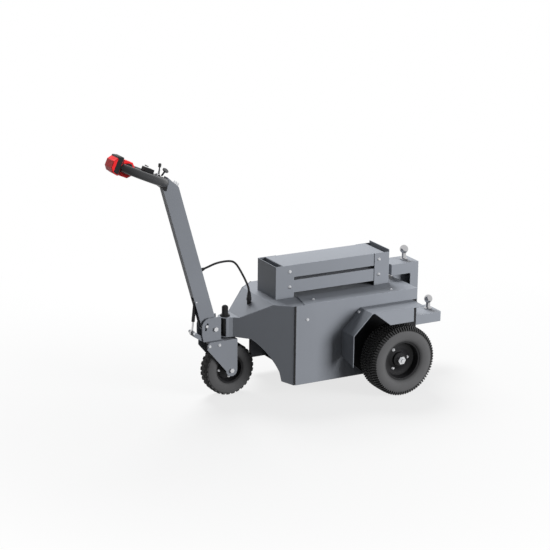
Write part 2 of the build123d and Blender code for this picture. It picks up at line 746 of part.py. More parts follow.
for label, sign in (("left", 1), ("right", -1)):
    wheel_y = sign * TRACK_HALF
    half = REAR_TYRE_W / 2
    bead = REAR_RIM_R
    seat_half = REAR_SEAT_HALF
    tyre_axis = Axis((AXLE_X, wheel_y, REAR_TYRE_R), (0, 1, 0))
    # Pressed disc rim with its hub on the outer side
    out = sign * seat_half
    with BuildPart() as rim:
        with BuildSketch(wheel_plane(AXLE_X, wheel_y, REAR_TYRE_R)):
            with BuildLine():
                Polyline(
                    (-out, bead),
                    (out, bead),
                    (out, bead + SHEET),
                    (out + sign * SHEET, bead + SHEET),
                    (out + sign * SHEET, bead - SHEET),
                    (sign * RIM_DISH_OUT, bead - 2 * SHEET),
                    (sign * RIM_DISC_OUT, HUB_R + 2 * SHEET),
                    (sign * HUB_OUT, HUB_R - SHEET),
                    (sign * HUB_OUT, AXLE_R + PIN_CLEAR),
                    (-sign * HUB_IN, AXLE_R + PIN_CLEAR),
                    (-sign * HUB_IN, HUB_R - 2 * SHEET),
                    (sign * RIM_DISC_IN, HUB_R),
                    (sign * RIM_DISH_IN, bead - 2 * SHEET),
                    (-out, bead - SHEET),
                    close=True,
                )
            make_face()
        revolve(axis=tyre_axis)
    save(rim.part, f"rear_rim_{label}")

    # Tyre, seated over the rim flanges, with lugs along both shoulders
    shoulder = REAR_TYRE_R - REAR_TREAD_CROWN
    with BuildPart() as tyre:
        with BuildSketch(wheel_plane(AXLE_X, wheel_y, REAR_TYRE_R)):
            with BuildLine():
                ThreePointArc((-REAR_TREAD_HALF, shoulder), (0, REAR_TYRE_R), (REAR_TREAD_HALF, shoulder))
                ThreePointArc((REAR_TREAD_HALF, shoulder), (half, REAR_BULGE_R), (seat_half, bead))
                Line((seat_half, bead), (-seat_half, bead))
                ThreePointArc((-seat_half, bead), (-half, REAR_BULGE_R), (-REAR_TREAD_HALF, shoulder))
            make_face()
        revolve(axis=tyre_axis)
        for side in (-1, 1):
            with BuildSketch(Plane((AXLE_X, wheel_y + side * REAR_LUG_IN, REAR_TYRE_R), z_dir=(0, side, 0))):
                with PolarLocations(REAR_TYRE_R, REAR_LUGS):
                    Rectangle(2 * (REAR_GROOVE_DEEP + REAR_TREAD_CROWN), REAR_GROOVE)
            extrude(amount=half - REAR_LUG_IN, mode=Mode.SUBTRACT)
        add(rim.part, mode=Mode.SUBTRACT)
    save(tyre.part, f"rear_tyre_{label}")

    # Half shaft with its end nut
    shaft_out = wheel_y + sign * HUB_OUT
    with BuildPart() as shaft:
        with BuildSketch(side_plane(sign * DRIVE_HALF)):
            with Locations((AXLE_X, REAR_TYRE_R)):
                Circle(AXLE_R)
        extrude(amount=-sign * (abs(shaft_out) - DRIVE_HALF))
        with BuildSketch(side_plane(shaft_out)):
            with Locations((AXLE_X, REAR_TYRE_R)):
                RegularPolygon(AXLE_R + SHEET, 6)
        extrude(amount=-sign * AXLE_R)
    save(shaft.part, f"half_shaft_{label}")

# Front wheel
front_axis = Axis((FRONT_AXLE_X, 0, FRONT_TYRE_R), (0, 1, 0))
FRONT_HALF = FRONT_TYRE_W / 2
HUB_END = FORK_IN - PIN_CLEAR

with BuildPart() as front_rim:
    with BuildSketch(wheel_plane(FRONT_AXLE_X, 0, FRONT_TYRE_R)):
        with BuildLine():
            Polyline(
                (-FRONT_SEAT_HALF - SHEET, FRONT_RIM_R + SHEET),
                (-FRONT_SEAT_HALF, FRONT_RIM_R + SHEET),
                (-FRONT_SEAT_HALF, FRONT_RIM_R),
                (FRONT_SEAT_HALF, FRONT_RIM_R),
                (FRONT_SEAT_HALF, FRONT_RIM_R + SHEET),
                (FRONT_SEAT_HALF + SHEET, FRONT_RIM_R + SHEET),
                (FRONT_SEAT_HALF + SHEET, FRONT_RIM_R - SHEET),
                (SHEET, FRONT_RIM_R - 3 * SHEET),
                (SHEET, FRONT_HUB_R),
                (HUB_END, FRONT_HUB_R - SHEET),
                (HUB_END, FRONT_AXLE_R + PIN_CLEAR),
                (-HUB_END, FRONT_AXLE_R + PIN_CLEAR),
                (-HUB_END, FRONT_HUB_R - SHEET),
                (-SHEET, FRONT_HUB_R),
                (-SHEET, FRONT_RIM_R - 3 * SHEET),
                (-FRONT_SEAT_HALF - SHEET, FRONT_RIM_R - SHEET),
                close=True,
            )
        make_face()
    revolve(axis=front_axis)
save(front_rim.part, "front_rim")

FRONT_SHOULDER = FRONT_TYRE_R - FRONT_TREAD_CROWN

with BuildPart() as front_tyre:
    with BuildSketch(wheel_plane(FRONT_AXLE_X, 0, FRONT_TYRE_R)):
        with BuildLine():
            ThreePointArc(
                (-FRONT_TREAD_HALF, FRONT_SHOULDER),
                (0, FRONT_TYRE_R),
                (FRONT_TREAD_HALF, FRONT_SHOULDER),
            )
            ThreePointArc(
                (FRONT_TREAD_HALF, FRONT_SHOULDER),
                (FRONT_HALF, FRONT_BULGE_R),
                (FRONT_SEAT_HALF, FRONT_RIM_R),
            )
            Line((FRONT_SEAT_HALF, FRONT_RIM_R), (-FRONT_SEAT_HALF, FRONT_RIM_R))
            ThreePointArc(
                (-FRONT_SEAT_HALF, FRONT_RIM_R),
                (-FRONT_HALF, FRONT_BULGE_R),
                (-FRONT_TREAD_HALF, FRONT_SHOULDER),
            )
        make_face()
    revolve(axis=front_axis)
    for side in (-1, 1):
        with BuildSketch(Plane((FRONT_AXLE_X, side * FRONT_LUG_IN, FRONT_TYRE_R), z_dir=(0, side, 0))):
            with PolarLocations(FRONT_TYRE_R, FRONT_LUGS):
                Rectangle(2 * (FRONT_GROOVE_DEEP + FRONT_TREAD_CROWN), FRONT_GROOVE)
        extrude(amount=FRONT_HALF - FRONT_LUG_IN, mode=Mode.SUBTRACT)
    add(front_rim.part, mode=Mode.SUBTRACT)
save(front_tyre.part, "front_tyre")

# Fork: two bored side plates under a crown
FORK_OUT = FORK_IN + HEAVY_PLATE

with BuildPart() as fork:
    with BuildSketch(side_plane(FORK_IN)):
        with BuildLine():
            Polyline(
                (FORK_REAR_X, FORK_TOP_Z),
                (FORK_REAR_X, FRONT_TYRE_R),
                (FRONT_AXLE_X, FRONT_TYRE_R - FORK_EYE_R),
                (FRONT_AXLE_X + FORK_EYE_R, FRONT_TYRE_R),
                (FORK_NOSE_X, FORK_NOSE_Z),
                (FORK_NOSE_X, FORK_TOP_Z - FORK_CROWN_H),
                (FORK_NOSE_X - FORK_CROWN_H, FORK_TOP_Z),
                close=True,
            )
        make_face()
        with Locations((FRONT_AXLE_X, FRONT_TYRE_R)):
            Circle(FORK_EYE_R)
            Circle(FRONT_AXLE_R, mode=Mode.SUBTRACT)
    extrude(amount=-HEAVY_PLATE)
    mirror(about=Plane.XZ)
    with BuildSketch(Plane.XY.offset(FORK_TOP_Z)):
        with Locations(((FORK_REAR_X + FORK_NOSE_X) / 2 - FORK_CROWN_H / 2, 0)):
            Rectangle(FORK_NOSE_X - FORK_CROWN_H - FORK_REAR_X, 2 * FORK_OUT)
    extrude(amount=-FORK_CROWN_H)
save(fork.part, "fork")

# Kingpin: shaft through the head tube with a washer and a domed cap
CAP_H = 58.0
CAP_R = 18.0
CAP_ROUND = 14.0

with BuildPart() as kingpin:
    with BuildSketch(Plane.XY.offset(FORK_TOP_Z)):
        with Locations((KINGPIN_X, 0)):
            Circle(KINGPIN_R)
    extrude(amount=HEAD_TUBE_TOP_Z + CAP_H / 2 - FORK_TOP_Z)
    with BuildSketch(Plane.XY.offset(FORK_TOP_Z)):
        with Locations((KINGPIN_X, 0)):
            Circle(KINGPIN_TUBE_R)
    extrude(amount=NECK_FOOT_Z - FORK_TOP_Z - PIN_CLEAR)
    with BuildSketch(Plane.XY.offset(HEAD_TUBE_TOP_Z + PIN_CLEAR)):
        with Locations((KINGPIN_X, 0)):
            Circle(KINGPIN_TUBE_R - SHEET / 2)
    extrude(amount=SHEET)
    with BuildSketch(Plane.XY.offset(HEAD_TUBE_TOP_Z + PIN_CLEAR)):
        with Locations((KINGPIN_X, 0)):
            Circle(CAP_R)
    extrude(amount=CAP_H)
    fillet(kingpin.edges().group_by(Axis.Z)[-1], CAP_ROUND)
save(kingpin.part, "kingpin")

# Front axle bolt
with BuildPart() as front_axle:
    with BuildSketch(side_plane(0)):
        with Locations((FRONT_AXLE_X, FRONT_TYRE_R)):
            Circle(FRONT_AXLE_R)
    extrude(amount=FORK_OUT, both=True)
    for end in (-1, 1):
        with BuildSketch(side_plane(end * FORK_OUT)):
            with Locations((FRONT_AXLE_X, FRONT_TYRE_R)):
                RegularPolygon(FRONT_AXLE_R * NUT_RATIO, 6)
        extrude(amount=-end * FRONT_AXLE_R)
save(front_axle.part, "front_axle")

EYE_ROOM = 2 * (SPRING_PIN_R + 2 * SPRING_SWAY + SHEET + FACE_CLEAR)

# Tiller bracket: two slotted cheeks on the fork crown, joined by a cross-piece with the spring lug
SLOT_R = SLOT_BOLT_R + PIN_CLEAR
SLOT_LOW = SLOT_BOLT_ANGLE - TILT_FORWARD
SLOT_SWEEP = TILT_FORWARD + TILT_BACK

with BuildPart() as tiller_bracket:
    with BuildSketch(side_plane(BRACKET_IN)):
        with BuildLine():
            Polyline(
                (BRACKET_REAR_X, BRACKET_TOP_Z),
                (BRACKET_REAR_X, FORK_TOP_Z),
                (CROSS_BACK_X + CROSS_H, FORK_TOP_Z),
                (BRACKET_NOSE_X, FORK_TOP_Z + CROSS_H),
                (BRACKET_NOSE_X, PIVOT_Z + SLOT_RADIUS / 3),
            )
            TangentArc(
                (BRACKET_NOSE_X, PIVOT_Z + SLOT_RADIUS / 3),
                (PIVOT_X + SLOT_RADIUS / 2, BRACKET_TOP_Z),
                tangent=(0, 1),
            )
            Line((PIVOT_X + SLOT_RADIUS / 2, BRACKET_TOP_Z), (BRACKET_REAR_X, BRACKET_TOP_Z))
        make_face()
        with Locations((PIVOT_X, PIVOT_Z)):
            Circle(PIVOT_R + PIN_CLEAR, mode=Mode.SUBTRACT)
        with BuildLine():
            slot_line = CenterArc((PIVOT_X, PIVOT_Z), SLOT_RADIUS, SLOT_LOW, SLOT_SWEEP)
        SlotArc(slot_line, 2 * SLOT_R, mode=Mode.SUBTRACT)
    extrude(amount=-HEAVY_PLATE)
    mirror(about=Plane.XZ)
    with BuildSketch(side_plane(0)):
        with BuildLine():
            Polyline(
                (CROSS_BACK_X, FORK_TOP_Z),
                (CROSS_BACK_X + CROSS_H, FORK_TOP_Z),
                (SPRING_EYE_X, SPRING_EYE_Z - CROSS_H / 2),
                (SPRING_EYE_X + SPRING_EYE_R, SPRING_EYE_Z),
                (SPRING_EYE_X, SPRING_EYE_Z + SPRING_EYE_R),
                (SPRING_EYE_X - SPRING_EYE_R, SPRING_EYE_Z),
                (CROSS_BACK_X, FORK_TOP_Z + SHEET * 2),
                close=True,
            )
        make_face()
        with Locations((SPRING_EYE_X, SPRING_EYE_Z)):
            Circle(SPRING_EYE_R)
            Circle(SPRING_PIN_R, mode=Mode.SUBTRACT)
    extrude(amount=BRACKET_IN, both=True)
    with BuildSketch(side_plane(0)):
        with Locations((SPRING_EYE_X, SPRING_EYE_Z)):
            Rectangle(EYE_ROOM, EYE_ROOM)
    extrude(amount=LUG_HALF - SHEET, both=True, mode=Mode.SUBTRACT)
save(tiller_bracket.part, "tiller_bracket")

# Pins of the spring's foot, carried by the lug
with BuildPart() as lug_pin:
    with BuildSketch(side_plane(0)):
        with Locations((SPRING_EYE_X, SPRING_EYE_Z)):
            Circle(SPRING_PIN_R)
    extrude(amount=BRACKET_IN, both=True)
save(lug_pin.part, "spring_foot_pin")

# Tiller arm: a rectangular tube with a rounded foot between the cheeks
ARM_PLANE = Plane(origin=(PIVOT_X, 0, PIVOT_Z), x_dir=(ARM_COS, 0, -ARM_SIN), z_dir=(0, -1, 0))
FOOT_DROP = 22.0
SLOT_BOLT_AT = SLOT_BOLT_ANGLE + ARM_LEAN
SPRING_REL = (SPRING_TOP_X - PIVOT_X, SPRING_TOP_Z - PIVOT_Z)
SPRING_AT = (
    SPRING_REL[0] * ARM_COS - SPRING_REL[1] * ARM_SIN,
    SPRING_REL[0] * ARM_SIN + SPRING_REL[1] * ARM_COS,
)
SPRING_MOUTH = 190.0

with BuildPart() as arm:
    with BuildSketch(ARM_PLANE):
        with BuildLine():
            Polyline(
                (ARM_BACK, 0),
                (ARM_BACK, ARM_RUN),
                (ARM_BACK + ARM_PEAK_IN, ARM_RUN + ARM_PEAK_RISE),
                (ARM_FRONT, ARM_RUN + ARM_DEPTH / 5),
                (ARM_FRONT, FOOT_DROP),
            )
            ThreePointArc(
                (ARM_FRONT, FOOT_DROP),
                (ARM_DEPTH / 3, -FOOT_DROP / 2),
                (0, -ARM_BACK_OFFSET),
            )
            RadiusArc((0, -ARM_BACK_OFFSET), (ARM_BACK, 0), ARM_BACK_OFFSET)
        make_face()
    extrude(amount=ARM_WIDTH / 2, both=True)
    with BuildSketch(ARM_PLANE):
        with BuildLine():
            Polyline(
                (ARM_BACK + ARM_WALL, ARM_DEPTH),
                (ARM_BACK + ARM_WALL, ARM_RUN - ARM_DEPTH / 2),
                (ARM_FRONT - ARM_WALL, ARM_RUN - ARM_DEPTH / 2),
                (ARM_FRONT - ARM_WALL, ARM_DEPTH),
                close=True,
            )
        make_face()
    extrude(amount=ARM_WIDTH / 2 - ARM_WALL, both=True, mode=Mode.SUBTRACT)
    with BuildSketch(ARM_PLANE):
        with Locations((ARM_FRONT, SPRING_AT[1] - SPRING_MOUTH / 2 + ARM_DEPTH / 3)):
            Rectangle(2 * (ARM_FRONT - SPRING_AT[0]) + ARM_DEPTH / 2, SPRING_MOUTH)
    extrude(amount=ARM_WIDTH / 2 - ARM_WALL, both=True, mode=Mode.SUBTRACT)
    with BuildSketch(ARM_PLANE):
        Circle(PIVOT_R)
        with Locations(SPRING_AT):
            Circle(SPRING_PIN_R)
        with PolarLocations(SLOT_RADIUS, 1, start_angle=SLOT_BOLT_AT):
            Circle(SLOT_BOLT_R)
    extrude(amount=ARM_WIDTH, both=True, mode=Mode.SUBTRACT)
save(arm.part, "tiller_arm")

# Pins of the arm: pivot bolt, slot bolt and the spring's head pin
BOLT_END = BRACKET_IN + HEAVY_PLATE + PIN_CLEAR

for label, at, pin_r, head, reach in (
    ("tilt_pivot_bolt", (0, 0), PIVOT_R, True, BOLT_END),
    (
        "tilt_slot_bolt",
        (SLOT_RADIUS * cos(radians(SLOT_BOLT_AT)), SLOT_RADIUS * sin(radians(SLOT_BOLT_AT))),
        SLOT_BOLT_R,
        True,
        BOLT_END,
    ),
    ("spring_head_pin", SPRING_AT, SPRING_PIN_R, False, ARM_WIDTH / 2),
):
    with BuildPart() as pin:
        with BuildSketch(ARM_PLANE):
            with Locations(at):
                Circle(pin_r)
        extrude(amount=reach, both=True)
        if head:
            for end in (-1, 1):
                with BuildSketch(ARM_PLANE.offset(end * reach)):
                    with Locations(at):
                        RegularPolygon(pin_r * NUT_RATIO, 6)
                extrude(amount=end * pin_r)
    save(pin.part, label)

# Gas spring: cylinder hung in the arm, rod down to the lug
SPRING_RUN = hypot(SPRING_TOP_X - SPRING_EYE_X, SPRING_TOP_Z - SPRING_EYE_Z)
SPRING_DIR = ((SPRING_EYE_X - SPRING_TOP_X) / SPRING_RUN, (SPRING_EYE_Z - SPRING_TOP_Z) / SPRING_RUN)
SPRING_PLANE = Plane(
    origin=(SPRING_TOP_X, 0, SPRING_TOP_Z),
    x_dir=(0, 1, 0),
    z_dir=(SPRING_DIR[0], 0, SPRING_DIR[1]),
)
EYE_HALF = LUG_HALF - SHEET - FACE_CLEAR
TUBE_END = SPRING_RUN - SPRING_ROD_SHOWN

with BuildPart() as gas_cylinder:
    with BuildSketch(side_plane(0)):
        with Locations((SPRING_TOP_X, SPRING_TOP_Z)):
            Circle(SPRING_EYE_R)
    extrude(amount=EYE_HALF, both=True)
    with BuildSketch(SPRING_PLANE):
        Circle(SPRING_TUBE_R)
    extrude(amount=TUBE_END)
    with BuildSketch(side_plane(0)):
        with Locations((SPRING_TOP_X, SPRING_TOP_Z)):
            Circle(SPRING_PIN_R + PIN_CLEAR)
    extrude(amount=2 * EYE_HALF, both=True, mode=Mode.SUBTRACT)
    with BuildSketch(SPRING_PLANE.offset(SPRING_EYE_R + SHEET)):
        Circle(SPRING_ROD_R + PIN_CLEAR)
    extrude(amount=SPRING_RUN, mode=Mode.SUBTRACT)
save(gas_cylinder.part, "gas_spring_cylinder")

ROD_EYE_BORE = SPRING_PIN_R + SPRING_SWAY

with BuildPart() as gas_rod:
    with BuildSketch(side_plane(0)):
        with Locations((SPRING_EYE_X, SPRING_EYE_Z)):
            Circle(ROD_EYE_BORE + SHEET)
    extrude(amount=EYE_HALF, both=True)
    with BuildSketch(SPRING_PLANE.offset(TUBE_END - SPRING_ROD_SHOWN / 3)):
        Circle(SPRING_ROD_R)
    extrude(amount=SPRING_ROD_SHOWN * 4 / 3)
    with BuildSketch(side_plane(0)):
        with Locations((SPRING_EYE_X, SPRING_EYE_Z)):
            Circle(ROD_EYE_BORE)
    extrude(amount=2 * EYE_HALF, both=True, mode=Mode.SUBTRACT)
save(gas_rod.part, "gas_spring_rod")

# Tiller head, set out along its own rising axis from the arm to the tip
HEAD_PLANE = Plane(
    origin=(AXLE_X + HEAD_STATION, 0, HEAD_Z),
    x_dir=(HEAD_COS, 0, HEAD_SIN),
    z_dir=(-HEAD_SIN, 0, HEAD_COS),
)
HEAD_SIDE = Plane(origin=HEAD_PLANE.origin, x_dir=HEAD_PLANE.x_dir, z_dir=(0, -1, 0))
CORE_HALF = 27.0
CORE_H = 44.0
CORE_HEEL = 39.6
BAND = 14.0
BUTTON_AT = HEAD_LENGTH - BUTTON_LENGTH
BAND_AT = BUTTON_AT - BAND

with BuildPart() as head_core:
    with BuildSketch(HEAD_SIDE):
        with BuildLine():
            Polyline(
                (-CORE_H / 2, -CORE_HEEL),
                (CORE_H, -CORE_H / 2),
                (BAND_AT, -CORE_H / 2),
                (BAND_AT, -BUTTON_H / 2 + SHEET),
                (BUTTON_AT, -BUTTON_H / 2 + SHEET),
                (BUTTON_AT, BUTTON_H / 2 - SHEET),
                (BAND_AT, BUTTON_H / 2 - SHEET),
                (BAND_AT, CORE_H / 2),
                (-CORE_H / 4, CORE_H / 2),
                close=True,
            )
        make_face()
    extrude(amount=CORE_HALF, both=True)
    fillet(head_core.edges().filter_by(Axis.Y), SHEET)
    add(arm.part, mode=Mode.SUBTRACT)
save(head_core.part, "head_core")

with BuildPart() as belly_button:
    with BuildSketch(HEAD_SIDE):
        with BuildLine():
            Polyline(
                (BUTTON_AT, -BUTTON_H / 2),
                (HEAD_LENGTH - BUTTON_LENGTH / 3, -BUTTON_KNEE / 2),
                (HEAD_LENGTH, -BUTTON_FACE / 2),
                (HEAD_LENGTH, BUTTON_FACE / 2),
                (HEAD_LENGTH - BUTTON_LENGTH / 3, BUTTON_KNEE / 2),
                (BUTTON_AT, BUTTON_H / 2),
                close=True,
            )
        make_face()
    extrude(amount=BUTTON_W / 2, both=True)
save(belly_button.part, "belly_button")

COVER_LENGTH = 74.0
COVER_REAR = BAND_AT - COVER_LENGTH
COVER_RISE = 22.0

with BuildPart() as head_cover:
    for way in (1, -1):
        with BuildSketch(HEAD_SIDE):
            with BuildLine():
                Polyline(
                    (COVER_REAR, way * CORE_H / 2),
                    (BAND_AT, way * CORE_H / 2),
                    (BAND_AT, way * (CORE_H / 2 + COVER_RISE)),
                    (COVER_REAR + COVER_RISE, way * (CORE_H / 2 + COVER_RISE)),
                    close=True,
                )
            make_face()
        extrude(amount=CORE_HALF - SHEET, both=True)
    add(head_core.part, mode=Mode.SUBTRACT)
save(head_cover.part, "head_cover")

# Grip: one closed tube round the head, straight between two shares of the head's length
GRIP_FROM = 0.3
GRIP_TO = 0.62

with BuildPart() as grip:
    with BuildLine(HEAD_PLANE) as grip_path:
        FilletPolyline(
            (CORE_H / 3, -CORE_HALF - GRIP_R),
            (HEAD_LENGTH * GRIP_FROM, -GRIP_HALF),
            (HEAD_LENGTH * GRIP_TO, -GRIP_HALF),
            (BAND_AT, -CORE_HALF),
            radius=GRIP_HALF / 2,
        )
    with BuildSketch(Plane(grip_path.line @ 0, z_dir=grip_path.line % 0)):
        Circle(GRIP_R)
    sweep()
    mirror(about=Plane.XZ)
    add(head_core.part, mode=Mode.SUBTRACT)
    add(belly_button.part, mode=Mode.SUBTRACT)
    add(arm.part, mode=Mode.SUBTRACT)
save(grip.part, "grip_loop")

CONSOLE_AT = 118.0
CONSOLE_LENGTH = 58.0
CONSOLE_H = 24.0

with BuildPart() as console:
    with BuildSketch(HEAD_PLANE.offset(CORE_H / 2)):
        with Locations((CONSOLE_AT, 0)):
            RectangleRounded(CONSOLE_LENGTH, 2 * CORE_HALF - 2 * SHEET, SHEET)
    extrude(amount=CONSOLE_H)
    chamfer(console.faces().sort_by(Axis.Z)[-1].edges(), SHEET / 2)
save(console.part, "console")

KEY_AT = 52.0

with BuildPart() as key_switch:
    with BuildSketch(HEAD_PLANE.offset(CORE_H / 2)):
        with Locations((KEY_AT, 0)):
            Circle(CORE_HALF / 2)
    extrude(amount=CONSOLE_H / 2)
    with BuildSketch(HEAD_PLANE.offset(CORE_H / 2 + CONSOLE_H / 2)):
        with Locations((KEY_AT, 0)):
            Rectangle(SHEET, CORE_HALF / 2)
    extrude(amount=CONSOLE_H)
save(key_switch.part, "key_switch")

# Cable from the arm to the hood, in two lengths that meet over the kingpin
CABLE_TOP_Z = 771.0
CABLE_ARM_Z = 739.0
CABLE_EXIT = 42.0
CABLE_ARM_X = PIVOT_X + (CABLE_ARM_Z - PIVOT_Z) * ARM_SIN / ARM_COS - ARM_BACK_OFFSET / ARM_COS
GLAND_STATION = 726.0
GLAND_X = AXLE_X + GLAND_STATION
HOOD_SLOPE = (NECK_TOP_Z - DECK_Z) / (NECK_X - HOOD_TOP_X)
GLAND_Z = DECK_Z + (GLAND_X - HOOD_TOP_X) * HOOD_SLOPE
GLAND_H = 40.0
GLAND_R = 12.0
GLAND_TOP_Z = GLAND_Z + GLAND_H
CORNER_SHARE = 0.45
UPPER_ROUTE = [
    (CABLE_ARM_X, CABLE_ARM_Z),
    (CABLE_ARM_X - CABLE_EXIT * ARM_COS, CABLE_ARM_Z + CABLE_EXIT * ARM_SIN),
    (KINGPIN_X + 47.0, CABLE_TOP_Z),
    (KINGPIN_X, CABLE_TOP_Z),
]
LOWER_ROUTE = [
    (KINGPIN_X, CABLE_TOP_Z),
    (KINGPIN_X - 34.0, CABLE_TOP_Z),
    (KINGPIN_X - 68.6, CABLE_TOP_Z - 20.0),
    (KINGPIN_X - 111.0, CABLE_TOP_Z - 93.6),
    (GLAND_X + 13.5, GLAND_TOP_Z + 70.3),
    (GLAND_X, GLAND_TOP_Z + 32.3),
    (GLAND_X, GLAND_TOP_Z),
]


def corner_radii(route):
    """Largest bend radius that the runs beside each corner of a route allow."""
    points = [Vector(*point) for point in route]
    radii = []
    for before, corner, after in zip(points, points[1:], points[2:]):
        run_in = corner - before
        run_out = after - corner
        turn = radians(run_in.get_angle(run_out))
        radii.append(CORNER_SHARE * min(run_in.length, run_out.length) / tan(turn / 2))
    return radii


print("cable radii", [round(radius) for radius in corner_radii(UPPER_ROUTE) + corner_radii(LOWER_ROUTE)])

with BuildPart() as cable_upper:
    with BuildLine(Plane.XZ) as upper_path:
        FilletPolyline(*UPPER_ROUTE, radius=corner_radii(UPPER_ROUTE))
    with BuildSketch(Plane(upper_path.line @ 0, z_dir=upper_path.line % 0)):
        Circle(CABLE_R)
    sweep()
save(cable_upper.part, "cable_upper")

with BuildPart() as cable_lower:
    with BuildLine(Plane.XZ) as lower_path:
        FilletPolyline(*LOWER_ROUTE, radius=corner_radii(LOWER_ROUTE))
    with BuildSketch(Plane(lower_path.line @ 0, z_dir=lower_path.line % 0)):
        Circle(CABLE_R)
    sweep()
save(cable_lower.part, "cable_lower")

with BuildPart() as gland:
    with BuildSketch(Plane.XY.offset(GLAND_Z - GLAND_H / 2)):
        with Locations((GLAND_X, 0)):
            Circle(GLAND_R)
    extrude(amount=GLAND_H * 3 / 2)
    split(bisect_by=HOOD_PLANE, keep=Keep.TOP)
    with BuildSketch(Plane.XY.offset(GLAND_Z + GLAND_H / 3)):
        with Locations((GLAND_X, 0)):
            RegularPolygon(GLAND_R + SHEET, 6)
    extrude(amount=GLAND_H / 3)
save(gland.part, "cable_gland")
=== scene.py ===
"""Looks of a walk-behind tow tug: finishes, tyres, fasteners, tiller head, cable and stage."""

import json
from math import atan2, cos, pi, radians, sin, sqrt

import bmesh
import bpy
from mathutils import Matrix, Vector


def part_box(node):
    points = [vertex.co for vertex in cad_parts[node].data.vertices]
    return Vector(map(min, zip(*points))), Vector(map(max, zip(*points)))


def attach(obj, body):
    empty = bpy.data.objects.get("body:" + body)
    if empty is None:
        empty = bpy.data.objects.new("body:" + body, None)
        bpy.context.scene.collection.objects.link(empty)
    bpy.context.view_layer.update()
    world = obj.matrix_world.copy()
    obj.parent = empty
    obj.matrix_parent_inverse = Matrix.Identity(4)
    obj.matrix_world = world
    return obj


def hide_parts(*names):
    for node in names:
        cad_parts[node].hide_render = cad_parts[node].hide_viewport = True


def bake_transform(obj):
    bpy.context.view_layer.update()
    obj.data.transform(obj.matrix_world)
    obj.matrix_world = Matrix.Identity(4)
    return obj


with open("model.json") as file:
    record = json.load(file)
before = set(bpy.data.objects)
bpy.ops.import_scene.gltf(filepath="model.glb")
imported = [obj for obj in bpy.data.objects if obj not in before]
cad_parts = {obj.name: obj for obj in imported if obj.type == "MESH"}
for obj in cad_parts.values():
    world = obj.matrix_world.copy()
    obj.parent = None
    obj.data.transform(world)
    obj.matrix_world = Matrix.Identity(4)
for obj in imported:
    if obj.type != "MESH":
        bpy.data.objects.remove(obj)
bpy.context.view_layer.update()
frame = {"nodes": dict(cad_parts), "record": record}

bl_info = {
    "name": "Tow Tug Looks",
    "version": (1, 0, 0),
    "blender": (4, 5, 0),
    "location": "View3D > Sidebar > Tow Tug",
    "description": "Dresses the packed tow tug with its finishes and small pieces",
    "category": "Object",
}

MM = 0.001

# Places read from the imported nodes
PANEL_LOW, PANEL_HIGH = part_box("side_panel_left")
FENDER_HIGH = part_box("fender_left")[1]
UPPER_SLAB_LOW, UPPER_SLAB_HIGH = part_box("ballast_slab_upper")
LOWER_SLAB_LOW, LOWER_SLAB_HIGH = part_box("ballast_slab_lower")
FRONT_WING_LOW, FRONT_WING_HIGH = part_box("ballast_bracket_front")
REAR_WING_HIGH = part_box("ballast_bracket_rear")[1]
REAR_TYRE_LOW, REAR_TYRE_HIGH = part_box("rear_tyre_left")
FRONT_TYRE_LOW, FRONT_TYRE_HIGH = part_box("front_tyre")
FORK_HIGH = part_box("fork")[1]
SPRING_PIN_LOW, SPRING_PIN_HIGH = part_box("spring_foot_pin")
ARM_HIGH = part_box("tiller_arm")[1]
BUTTON_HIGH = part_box("belly_button")[1]
CORE_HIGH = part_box("head_core")[1]
GLAND_LOW, GLAND_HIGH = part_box("cable_gland")
CABLE_UP_LOW, CABLE_UP_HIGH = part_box("cable_upper")
KINGPIN_LOW, KINGPIN_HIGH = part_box("kingpin")

SIDES = (("left", 1), ("right", -1))
REAR_AXLE = (REAR_TYRE_LOW + REAR_TYRE_HIGH) / 2
FRONT_AXLE = (FRONT_TYRE_LOW + FRONT_TYRE_HIGH) / 2
REAR_TYRE_R = (REAR_TYRE_HIGH.z - REAR_TYRE_LOW.z) / 2
FRONT_TYRE_R = (FRONT_TYRE_HIGH.z - FRONT_TYRE_LOW.z) / 2
REAR_HALF = (REAR_TYRE_HIGH.y - REAR_TYRE_LOW.y) / 2
FRONT_HALF = (FRONT_TYRE_HIGH.y - FRONT_TYRE_LOW.y) / 2
REAR_BEAD = 106 * MM
FRONT_BEAD = 78 * MM

# The tiller head's own axes: along the rising head, across it and out of its top
HEAD_RISE = radians(24)
HEAD_LENGTH = 345 * MM
BUTTON_LENGTH = 52 * MM
BUTTON_FACE = 38 * MM
BUTTON_H = 96 * MM
BUTTON_AT = HEAD_LENGTH - BUTTON_LENGTH
CORE_H = 44 * MM
CORE_HALF = CORE_HIGH.y
HEAD_ALONG = Vector((cos(HEAD_RISE), 0, sin(HEAD_RISE)))
HEAD_UP = Vector((-sin(HEAD_RISE), 0, cos(HEAD_RISE)))
HEAD_ORIGIN = Vector(
    (
        BUTTON_HIGH.x - HEAD_LENGTH * HEAD_ALONG.x - BUTTON_FACE / 2 * HEAD_ALONG.z,
        0,
        BUTTON_HIGH.z - BUTTON_AT * HEAD_ALONG.z - BUTTON_H / 2 * HEAD_UP.z,
    )
)
HEAD_FRAME = Matrix.Translation(HEAD_ORIGIN) @ Matrix.Rotation(-HEAD_RISE, 4, "Y")
ARM_LEAN = radians(16)

# The arm's sloped top: its peak, behind the arm's foremost corner, and the fall to its rear edge
ARM_PEAK_BACK = 26.6 * MM
ARM_PEAK = Vector((ARM_HIGH.x - ARM_PEAK_BACK, 0, ARM_HIGH.z))
ARM_TOP_FALL = Vector((-64.9, 0, -59.4)) * MM

# Colours of the finishes that the panel's settings don't give
ZINC = (0.74, 0.75, 0.77)
CHROME = (0.52, 0.52, 0.53)
BLACK_MOULDING = (0.013, 0.013, 0.014)
GRIP_RUBBER = (0.040, 0.041, 0.043)
HIDDEN_MASS = (0.02, 0.02, 0.021)

